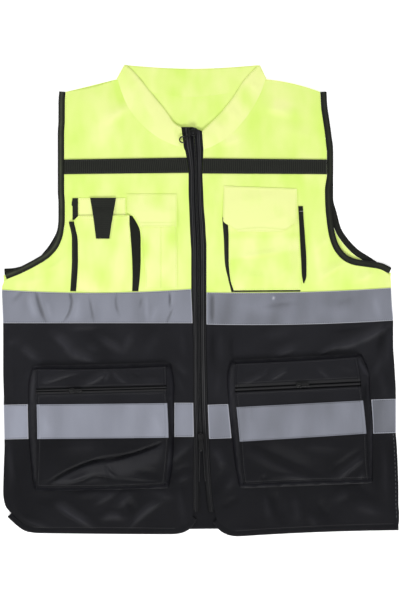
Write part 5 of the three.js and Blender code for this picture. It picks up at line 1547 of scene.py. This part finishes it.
class HipPocket:
    """The face of a hip pocket as one grid, from which its parts are cut."""

    def __init__(self, front):
        self.front = front
        rows = HIP_POCKETS[front.side]
        self.table, self.at = finer(HIP_COLUMNS, rows, 2.0, NEAR_EDGE)
        near = np.array((0, *NEAR_EDGE)) / HIP_WIDTH
        u = np.concatenate([near, np.linspace(0.03, 0.97, 90), 1 - near[::-1]])
        x, y = lay_out(self.table, u)
        down = np.clip((rows[0][1] - y) / (rows[0][1] - rows[-1][1]), 0, 1)
        crown = np.sin(np.pi * u) * np.sin(np.pi * down)
        inside = smooth(12 * np.minimum(u, 1 - u)) * smooth(12 * down) * smooth(22 * (1 - down))
        relief = inside * fold_height(HIP_FOLDS, x, y) + 0.5 * swell(x, y, 60, 21) * inside
        z = HIP_LEVEL + CLOTH + HIP_BULGE * crown + np.maximum(relief, HIP_DEEPEST)
        grid = grid_of(x, y, z)
        grid[..., 2] += (raised_edge(from_edges(grid, "inner outer"))
                         + 0.3 * raised_edge(from_edges(grid, "top bottom")))
        self.grid, self.relief = grid, relief

    def cut(self, first, last):
        """The part between two rows of the table, with the play of its seams."""
        part = self.grid[self.at[first]: self.at[last] + 1].copy()
        part[0, :, 1] -= SEAM / 2 if first else 0
        part[-1, :, 1] += SEAM / 2 if last < len(self.at) - 1 else 0
        return part

    def tone(self, first, last, base=None):
        """Tone of that part: a base, the black cloth's painted sheen if none is given, and 0.18
        for each millimetre of relief, which paints crests lighter and troughs darker."""
        part = slice(self.at[first], self.at[last] + 1)
        base = painted_sheen(self.grid[part, :, 1]) if base is None else base
        return np.clip(base + 0.18 * np.clip(self.relief[part], -2, 1.6), 0, 1)

    def loops(self):
        """The face's edge all round, and the foot of the gusset on the front beside it."""
        table, grid = self.table, self.grid
        rim = np.concatenate([grid[:, 0], grid[-1, 1:], grid[-2::-1, -1], grid[0, -2:0:-1]])
        inner, outer = (np.stack([table[f"foot_{end}_x"], table[f"foot_{end}_y"]], axis=-1)
                        for end in ("in", "out"))
        share = np.linspace(0, 1, grid.shape[1])[:, None]
        low, top = mix(inner[-1], outer[-1], share), mix(inner[0], outer[0], share)
        foot = np.concatenate([inner, low[1:], outer[-2::-1], top[-2:0:-1]])
        foot = self.front.level(foot[:, 0], foot[:, 1], SEAM)
        return rim, foot


def zip_strip(part, columns, gaps):
    """The zip across a pocket. Between two rows of the face lies its tape, with a dark gap on
    each side of the coil; `gaps` holds their shares of the way down. The coil's windings are
    bars a COIL_PITCH wide. The tone follows the height: the gaps' grooves are painted dark,
    painted shade, and the raised parts lighter."""
    place, lift, teeth = HIP_ZIP_SECTION
    share = np.concatenate([[0], gaps[0] + place * (gaps[1] - gaps[0]), [1]])
    lift, teeth = (np.concatenate([[v[0]], v, [v[-1]]]) for v in (lift, teeth))
    first, last = respaced(part[0], columns), respaced(part[-1], columns)
    count = min(len(first), len(last))
    run = lengths(first)[:count]
    grid = mix(first[:count], last[:count], share[:, None, None])
    bars = np.abs(np.sin(np.pi * run[None, :] / COIL_PITCH)) ** 1.5
    grid[..., 2] += lift[:, None] + teeth[:, None] * (bars - 1) * 0.55
    return grid, (0.35 + 0.35 * lift)[:, None] + 0 * run


def part_of(pocket, part, upper, thickness, finish, rests_on, **more):
    """A piece of a pocket, which stands for the solid of its name."""
    return cloth(f"{pocket}_{part}", upper, thickness, finish,
                 [f"{pocket}_{part}".replace("_", "_pocket_", 1)], rests_on, **more)


def hip_pocket(front):
    """The pieces of one hip pocket. Its gusset is painted lighter half way up, in soft patches, a
    painted highlight on its tube, and its faces have the painted sheen and relief shading.
    """
    pocket = HipPocket(front)
    name = f"hip_{front.side}"
    (zip_from, zip_to), last = HIP_ZIP_ROWS, len(pocket.at) - 1
    top = turned_under(pocket.cut(0, zip_from), "bottom", 3.0, 0.35)
    face = turned_under(pocket.cut(zip_to, last), "top", 3.0, 0.35)
    rim, foot = pocket.loops()
    outer, inner = gusset(tucked(rim, foot, 0.02, 0.15), evened(foot, 3, True), 0.7, seed=5,
                          slumped=True)
    middle = np.sin(np.linspace(0, np.pi, len(outer)))[:, None]
    patches = 0.5 + 0.5 * swell(*plan(outer), 34, 11)
    tone = painted_sheen(outer[..., 1]) + middle * (0.14 + 0.24 * patches) - 0.06
    tone = tone + fold_height(PAINTED_GUSSET_STREAKS, *plan(outer))
    part_of(name, "gusset", outer, GUSSET_THICKNESS, black, [f"front_{front.side}_black"],
            tone=tone, looped=True, lower=inner)
    on_gusset = [f"{name}_gusset"]
    part_of(name, "top", top, PANEL_THICKNESS, black, on_gusset, tone=pocket.tone(0, zip_from))
    part_of(name, "face", face, PANEL_THICKNESS, black, on_gusset, tone=pocket.tone(zip_to, last))
    strip, tone = zip_strip(pocket.cut(zip_from, zip_to), COIL_PITCH / 5, ZIP_GAPS[front.side])
    part_of(name, "zip", strip, 0.9, zip_tape, on_gusset, tone=tone)
    tape = shifted(pocket.cut(*HIP_TAPE_ROWS), dz=TAPE_RISE)
    # The tape's relief paints its creases darker and its crests lighter: painted shade and
    # highlight.
    tone = pocket.tone(*HIP_TAPE_ROWS, BAND_TONES[name]) + crumpled(tape)
    part_of(name, "tape", tape, TAPE_THICKNESS, silver, [f"{name}_face"], tone=tone)
    sew_along("black", tape, "top bottom", 1.5, 4)
    sew_along("black", top, "bottom", 2.0, 4)
    sew_along("black", face, "top", 2.0, 4)
    sew_along("black", face, "inner outer bottom", 3.4, 3)
    return pocket


hip_pockets = {side: hip_pocket(front) for side, front in fronts.items()}

# %% [markdown]
# ## The chest pockets
#
# Three different pockets of the bright cloth, doubled by the front behind them and so lighter:
# one for a phone with a black gusset on each side and a strap over its mouth, one for pens under
# a flap, and one with a bigger flap, a gusset beside the zip and a slot for a pen outside. Each
# part is a patch whose table says how high it lies over the front, so the front's own folds go
# through all of them.

# %% Patches
FLAT = "in_x in_y out_x out_y bow above"
PATCH_GAP, PATCH_THICKNESS = 2.6, 0.6
CLOUDS = 0.5                 # how far soft clouds change a patch's tone


def patch(front, rows, names=FLAT, gap=PATCH_GAP, shape=None):
    """Upper face of a patch, and its table. `above` is the height of its lower face over the
    front, and `shape` adds to it where the patch isn't flat."""
    table, at = finer(names, rows, gap)
    width = abs(rows[0][2] - rows[0][0])
    u = np.linspace(0, 1, max(6, round(width / gap) + 1))
    x, y = lay_out(table, u)
    above = table["above"][:, None] + PATCH_THICKNESS
    if shape is not None:
        above = above + shape(x, y, u, table)
    return front.level(x, y, above), table


def yellow_patch(pocket, part, grid, tone, rests_on, hem=""):
    """A patch with its seams. Its tone has soft clouds, where it lies closer to the front."""
    grid = turned_under(grid, hem) if hem else grid
    clouds = swell(*plan(grid), 36, len(f"{pocket}_{part}"))
    part_of(pocket, part, grid, PATCH_THICKNESS, yellow, rests_on, tone=tone + CLOUDS * clouds)
    sew_along("yellow", grid, "inner outer top bottom", 1.6, 1.5)
    sew_along("yellow", grid, hem, 6.4, 1.5)
    return grid


ON_RIGHT, ON_LEFT = ["front_right_yellow"], ["front_left_yellow"]

# %% Phone pocket
PHONE_NAMES = FLAT + " bulge foot_in_x foot_out_x"
PHONE_FACE = [
    (-107, 128, -184, 127, 0, 2.2, 0, -103, -198), (-107, 118, -190, 119, 0, 2.2, 0, -97, -198),
    (-106, 104, -187, 105, 0, 2.2, 0, -91, -195), (-105, 91, -184.5, 91, 0, 2.2, 0, -90, -193.5),
    (-103, 61, -184, 61, 0, 2.2, 1.4, -90, -193.5),
    (-102.5, 38, -185, 38, 0, 1.8, 1.2, -91, -194.5),
    (-103, 14, -187, 14, -1.5, 0.5, 0, -93.5, -196),
]
STRAP = [
    (-127, 154.5, -166, 154.5, 0, 1.8), (-129, 143, -164, 143, 0, 1.8),
    (-131, 131, -162, 131, 0, 3.7), (-133.5, 117, -160, 117, 0, 3.7),
    (-137, 93, -157, 93, 0, 3.7),
]
STRAP_FOLD = -147
LOOP = [
    (-184.3, 154, -192.5, 154, 0, 0.3), (-184.3, 144, -194, 144, 0, 0.3),
    (-184.3, 141, -192.5, 141, 0, 0.3), (-184.3, 123, -192.5, 121, 0, 0.3),
]


def side_gusset(front, pocket, part, rim, foot_x, foot_y, rests_on):
    """A black gusset along one side of a pocket, standing on the front."""
    foot = front.level(foot_x, foot_y, SEAM)
    outer, inner = gusset(tucked(rim, foot, 0.03, 0.1), foot, 0.3, steps=9)
    part_of(pocket, part, outer, GUSSET_THICKNESS, trim, rests_on, lower=inner)


def phone_pocket(front):
    """Its back, its bulging face, a gusset on each side, and the strap and its loop."""
    back, _ = patch(front, [(-113, 154, -183.5, 154, 0, 0.3), (-113, 100, -183.5, 100, 0, 0.3)])
    yellow_patch("phone", "back", back, 0.95, ON_RIGHT)
    face, table = patch(front, PHONE_FACE, PHONE_NAMES,
                        shape=lambda x, y, u, t: t["bulge"][:, None] * np.sin(np.pi * u))
    face = yellow_patch("phone", "face", face, 0.42, ON_RIGHT, "top")
    y = (table["in_y"] + table["out_y"]) / 2
    ends = (("inner", 0, "foot_in_x", 0), ("outer", -1, "foot_out_x", 4))
    for side, column, feet, first in ends:
        side_gusset(front, "phone", f"gusset_{side}", face[first:, column],
                    table[feet][first:], y[first:], ON_RIGHT)
    for part, rows, columns, under in (("strap", STRAP, 13, ["phone_back"]),
                                       ("loop", LOOP, 5, ON_RIGHT)):
        strip, _ = patch(front, rows, gap=RIB / 8)
        strip = strip[:, np.linspace(0, strip.shape[1] - 1, columns).astype(int)]
        if part == "strap":
            strip[..., 2] -= 0.4 * np.exp(-(((strip[..., 0] - STRAP_FOLD) / 1.1) ** 2))
        strip, tone = ribbed(strip, from_edge(strip, "top"), 0.25)
        part_of("phone", part, strip, 1.0, webbing, under, tone=tone)


phone_pocket(right_front)

# %% Pen pocket
PEN_BODY = [
    (-36, 118, -89, 118, 0, 0.3), (-36, 70, -86, 70, 0, 0.9),
    (-35.5, 41, -83, 41, 0, 0.8), (-35.5, 18, -83, 17.5, 0, 0.3),
]
PEN_FLAP = [
    (-36, 160, -111, 160, 0, 0.3), (-36, 146, -111, 147, 0, 1.1), (-36, 133, -110.5, 134, 0, 2.0),
    (-36, 124, -99, 125, 0, 2.0), (-36, 111, -90, 111, 0, 2.0),
]
DIVISION = -59.5             # the seam that parts the pens


def pen_shape(x, y, u, table):
    """Two low arches side by side, |sin| across, with a groove at the seam between them."""
    pens = 0.9 * np.abs(np.sin(np.pi * (x - DIVISION) / 25))
    groove = -0.35 * np.exp(-(((x - DIVISION) / 1.2) ** 2))
    inside = smooth(10 * np.minimum(u, 1 - u)) * smooth((y - 20) / 16) * smooth((112 - y) / 10)
    return pens * inside + groove * smooth((112 - y) / 6)


def pen_pocket(front):
    """The body for the pens, its flap, and the seam that parts the pens."""
    body, _ = patch(front, PEN_BODY, gap=1.6, shape=pen_shape)
    yellow_patch("pen", "body", body, 0.45, ON_RIGHT)
    flap, _ = patch(front, PEN_FLAP)
    yellow_patch("pen", "flap", flap, 0.5, ["pen_body"], "bottom")
    sew("yellow", respaced(front.level(DIVISION, [110, 19], 1.7), 3))


pen_pocket(right_front)

# %% Flap pocket with its pen slot
CHEST_NAMES = FLAT + " foot_x foot_y"
CHEST_BODY = [
    (42, 124, 147, 123, 0, 2.6, 33, 125), (41.5, 117, 147.5, 117, 0, 2.6, 33, 120),
    (42.5, 93, 148.2, 93, 0, 2.6, 35, 94), (42.5, 62, 149.6, 62, 0, 2.6, 36.5, 58),
    (45, 32, 151, 32, 0, 2.6, 41.5, 33), (50, 15.3, 150.5, 15.9, 0, 1.6, 46.5, 12.7),
]
CHEST_FOOT_END = (150, 13.5)
CHEST_FLAP = [               # with `above` as the share of the body's height
    (35, 172, 145, 168), (34.8, 160, 145, 157, 0, 0.3), (34.6, 147, 144.8, 145, 0, 0.62),
    (34.3, 130, 144.3, 129, 0, 0.9), (34.2, 120, 144, 118, 0, 0.97), (45, 111, 135, 111, 0, 1),
    (57, 103, 123, 103, 0, 1),
]
PEN_SLOT = [
    (147, 142, 154, 142, 0, 0.3), (148.4, 118, 155.6, 118, 0, 0.3),
    (149.8, 90, 157.6, 90, 0, 0.3), (151.4, 60, 159.3, 60, 0, 0.3),
    (152.6, 38, 159.4, 38, 0, 0.3), (154.6, 26, 156, 26, 0, 0.3),
]
CHEST_HIGH_X, CHEST_LOW_X = 134, 147
CHEST_CREASES = [(58, 65, 122, 74, 7, 1.3, 1, 0.3), (60, 40, 100, 34, 10, 0.8),
                 (112, 30, 138, 52, 9, 0.7), (64, 110, 84, 84, 9, 0.7)]
FLAP_CREASES = [(50, 150, 120, 158, 12, 0.5), (90, 112, 132, 128, 12, 0.6)]
PALE_FROM = (58, 60, 0.14)   # a point and the slope of the line above which the body is paler
SHADED_AT = 98               # the flap's shade on the body
BAR_TACK = np.array([[148.9, 155.6], [134.3, 134.3]])
BODY_OVER, SEWN_OVER, FLAP_PLAY = 2.6, 0.3, 0.7


def come_down(x):
    """1 on the body, 0 where its outer edge is sewn to the front."""
    return 1 - np.clip((x - CHEST_HIGH_X) / (CHEST_LOW_X - CHEST_HIGH_X), 0, 1)


def body_shape(x, y, u, table):
    """What lowers the body towards its outer edge, and its creases."""
    above = table["above"][:, None]
    crease = fold_height(CHEST_CREASES, x, y) * smooth(6 * np.minimum(u, 1 - u))
    return (above - SEWN_OVER) * (come_down(x) - 1) + crease


def flap_shape(x, y, u, table):
    """The flap's lower face is a little over the body's upper one, and comes down to its seam:
    `above` is the share of the way from one to the other."""
    share = table["above"][:, None]
    over_body = mix(SEWN_OVER, BODY_OVER, come_down(x)) + PATCH_THICKNESS + FLAP_PLAY
    folded = 0.15 * np.exp(-(((169.5 - y) / 2.6) ** 2))
    return mix(SEWN_OVER, over_body - 1, share) + fold_height(FLAP_CREASES, x, y) + folded


def flap_pocket(front):
    """The body with its gusset, paler above its crease and shaded below the flap, then the flap,
    the pen slot and its bar tack."""
    body, table = patch(front, CHEST_BODY, CHEST_NAMES, shape=body_shape)
    x, y = plan(body)
    above_crease = smooth((y - PALE_FROM[1] - (x - PALE_FROM[0]) * PALE_FROM[2]) / 8)
    shaded = np.exp(-(((y - SHADED_AT) / 6) ** 2))
    yellow_patch("chest", "body", body, 0.25 + 0.4 * above_crease - 0.35 * shaded, ON_LEFT)
    share = np.linspace(0, 1, body.shape[1])[1:]
    foot = (np.concatenate([table[name], mix(table[name][-1], end, share)])
            for name, end in zip(("foot_x", "foot_y"), CHEST_FOOT_END))
    rim = np.concatenate([body[:, 0], body[-1, 1:]])
    side_gusset(front, "chest", "gusset", rim, *foot, ON_LEFT)
    flap, _ = patch(front, CHEST_FLAP, shape=flap_shape)
    yellow_patch("chest", "flap", flap, 0.95, ["chest_body"], "bottom")
    slot, _ = patch(front, PEN_SLOT, gap=1.8)
    cloth("pen_slot", slot, 1.0, trim, ["pen_slot_strip"], ON_LEFT)
    sew("white", respaced(front.level(*BAR_TACK, 1.4), 1), pitch=1.3)


flap_pocket(left_front)
print(len(made), "pieces,", sum(made.values()), "triangles")

# %% [markdown]
# ## Sliders and pulls
#
# A slider is die cast: a plate with rounded corners, and a bridge over it that holds the pull.
# The main zip's sliders are a little larger than the pockets'. A pull has an eye round the
# bridge's leg and ends in a tab, or on the top slider in a ring. Boxes would read as boxes in
# the light, so a plate is a stack of superellipse outlines with soft edges, and bridge, eye and
# ring are wires bent along a path. Each pull turns on its own hinge, so it rides on its own body.

# %% Hard parts
MAIN_SLIDER = {"length": 12, "width": 8.6, "plate": 1.6, "bridge": 9, "bar": 1.2, "rise": 2.3}
POCKET_SLIDER = {"length": 9, "width": 7, "plate": 1.3, "bridge": 6.4, "bar": 1.1, "rise": 2.1}
RING_PULL = {"eye_width": 6.6, "eye_length": 4.4, "rim": 1.6, "reach": 21, "ring": 5.4, "tab": 3}
MAIN_PULL = {"eye_width": 3.4, "eye_length": 4.4, "rim": 1, "reach": 20, "ring": 0, "tab": 5}
POCKET_PULL = {"eye_width": 3, "eye_length": 3.2, "rim": 0.9, "reach": 15, "ring": 0, "tab": 4.2}
PULL_THICKNESS, PULL_ROOT, RING_WIRE = 1.1, 0.65, 2.2


def cast(width, length, low, high, power=4.0, edge=0.35):
    """A plate between two heights, whose edges are quarter circles of radius `edge`."""
    turn = np.linspace(0, np.pi / 2, 5)
    inward = edge * (1 - np.sin(turn))
    lift = edge * (1 - np.cos(turn))
    levels = [*(low + lift), *(high - lift[::-1])]
    rings = [grid_of(*outline(width - 2 * i, length - 2 * i, power).T, z)
             for z, i in zip(levels, [*inward, *inward[::-1]])]
    return tube_parts(np.array(rings))


def wire(path, width, height, up, closed=False, power=3.0):
    """A bent wire whose section is a superellipse of the given width and height."""
    return tube_parts(carried(path, outline(width, height, power, 14), up, closed), closed)


def slider_parts(length, width, plate, bridge, bar, rise):
    """A plate, a narrower rail on it, and the bridge: a wire along an arch whose height is the
    square root of a sine."""
    turn = np.linspace(0, np.pi, 17)
    run = (bridge - bar) / 2
    arch = grid_of(0, -run * np.sign(np.cos(turn)) * np.abs(np.cos(turn)) ** 0.5,
                   plate - 0.4 + (rise + bar / 2 + 0.4) * np.sin(turn) ** 0.5)
    rail = cast(width * 0.52, length * 0.82, plate - 0.3, plate + 0.25, edge=0.25)
    return joined([cast(width, length, 0, plate), rail, wire(arch, 1.4, bar, (1, 0, 0))])


def pull_parts(eye_width, eye_length, rim, reach, ring, tab):
    """An eye bent from wire, a flat stem, and a ring at its end if it has one. It points to -Y
    from its hinge."""
    middle = -PULL_ROOT - eye_length / 2
    eye = outline(eye_width + rim, eye_length + PULL_ROOT + rim / 2, 5.0)
    eye = grid_of(eye[:, 0], eye[:, 1] + middle + 0.1, 0)
    parts = [wire(eye, rim, PULL_THICKNESS, (0, 0, 1), closed=True)]
    eye_end = -PULL_ROOT - eye_length
    far = ring - reach if ring else -reach
    stem = cast(tab, eye_end - far + 0.4, -PULL_THICKNESS / 2, PULL_THICKNESS / 2, 5.0)
    parts.append((shifted(stem[0], dy=(eye_end + far) / 2 - 0.1), stem[1]))
    if ring:
        turn = np.linspace(0, math.tau, 40, endpoint=False)
        loop = (ring - RING_WIRE / 2) * grid_of(np.cos(turn), np.sin(turn), 0)
        loop[:, 1] -= reach
        parts.append(wire(loop, RING_WIRE, PULL_THICKNESS, (0, 0, 1), closed=True, power=2.0))
    return joined(parts)


def placed(parts, yaw, place):
    """Parts turned about Z and moved: their object stays at the origin."""
    points, faces = parts
    c, s = math.cos(yaw), math.sin(yaw)
    return points @ np.array([[c, s, 0], [-s, c, 0], [0, 0, 1]]) + np.asarray(place), faces


def slider(name, size, yaw, pull, pull_yaw):
    """A slider, level with the top of its solid, and its pull, hinged half way up the bridge."""
    low, high = (np.array(corner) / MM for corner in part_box(f"zip_slider_{name}"))
    place = np.array([(low[0] + high[0]) / 2, (low[1] + high[1]) / 2, high[2]])
    place[2] -= size["plate"] + size["rise"] + size["bar"]
    body = put_mesh(f"slider_{name}", *placed(slider_parts(**size), yaw, place), metal, sharp=40)
    dress(body, [f"zip_slider_{name}"])
    pivot = shifted(place, dz=size["plate"] + size["rise"] / 2)
    tab = put_mesh(f"pull_{name}_metal", *placed(pull_parts(**pull), pull_yaw, pivot), metal,
                   sharp=40)
    dress(tab, [f"zip_pull_{name}"], f"pull_{name}")
    print(f"slider {name} at", np.round(place, 1))


def zip_slope(rows):
    """Direction of a pocket's zip, from the ends of one of its rows."""
    in_x, in_y, out_x, out_y = rows[HIP_ZIP_ROWS[0]][:4]
    return math.atan((out_y - in_y) / (out_x - in_x))


slider("top", MAIN_SLIDER, -0.3, RING_PULL, -0.95)
slider("lower", MAIN_SLIDER, 0.0, MAIN_PULL, 0.0)
for side, rows in HIP_POCKETS.items():
    yaw = zip_slope(rows) + math.pi / 2
    slider(f"hip_{side}", POCKET_SLIDER, yaw, POCKET_PULL, yaw)

# %% [markdown]
# ## Stitches
#
# Each stitch of a seam is a little spindle of thread that lies on the cloth, with a gap before
# the next one. Thousands of them as separate objects would be slow, so each colour of thread is
# one mesh: the same fourteen points, scaled, turned and moved along every line noted above.

# %% Thread


def more_seams():
    """Lines of stitches along the panels' own edges, and the two that hold a hip pocket's
    crease."""
    for side, front in fronts.items():
        last = front.at[ARMHOLE_END[side]]
        sew_along("yellow", front.grid[: last + 1], "outer", 1.6, 3)
        sew_along("black", front.grid, "bottom", 2.2, 8)
    edge = left_front.grid[left_front.row(9):left_front.row(15)]
    sew_along("grey", edge, "outer", 4.0, pitch=6.0)
    pocket = hip_pockets["right"].grid
    for x in (-142, -138.5):
        near = np.abs(pocket[..., 0] - x) + 50 * (pocket[..., 1] > -265)
        column = int(near.min(axis=0).argmin())
        line = pocket[-6:, column].copy()
        line[:, 0] = x
        sew("black", line, pitch=2.2)


def spindles(lines):
    """All stitches of one thread. A spindle's two rings of six lie at a third of its length from
    each end, and its poles dip into the cloth."""
    lines = [(respaced(line, pitch), pitch) for line, pitch in lines]
    centre = np.concatenate([(line[1:] + line[:-1]) / 2 for line, _ in lines])
    run = unit(np.concatenate([line[1:] - line[:-1] for line, _ in lines]))
    size = np.concatenate([np.full(len(line) - 1, pitch) for line, pitch in lines])
    side = unit(np.cross(run, (0, 0, 1)))
    up = np.cross(side, run)
    around = np.arange(6) * math.tau / 6
    along = np.concatenate([[-0.5], np.full(6, -0.24), np.full(6, 0.24), [0.5]]) * 0.72
    across = np.concatenate([[0], np.cos(around), np.cos(around), [0]]) * 0.38
    above = np.concatenate([[-0.1], 0.14 + 0.22 * np.tile(np.sin(around), 2), [-0.1]])
    points = (centre[:, None] + run[:, None] * (along * size[:, None])[..., None]
              + side[:, None] * across[:, None] + up[:, None] * above[:, None])
    k, n = np.arange(6), (np.arange(6) + 1) % 6
    zero, end = np.zeros(6, int), np.full(6, 13)
    faces = np.concatenate([
        np.stack([1 + n, 1 + k, zero, zero], axis=-1),
        np.stack([1 + k, 1 + n, 7 + n, 7 + k], axis=-1),
        np.stack([7 + k, 7 + n, end, end], axis=-1),
    ])
    shift = 14 * np.arange(len(centre))[:, None, None]
    return points.reshape(-1, 3), (faces[None] + shift).reshape(-1, 4)


more_seams()
for name, finish in threads.items():
    stitches = put_mesh(f"stitches_{name}", *spindles(seams[name]), finish, sharp=80)
    dress(stitches)
    print(f"{name} thread: {len(stitches.data.vertices) // 14} stitches")
print(len(made), "pieces,", sum(made.values()), "triangles, the most in one piece",
      max(made.values()))
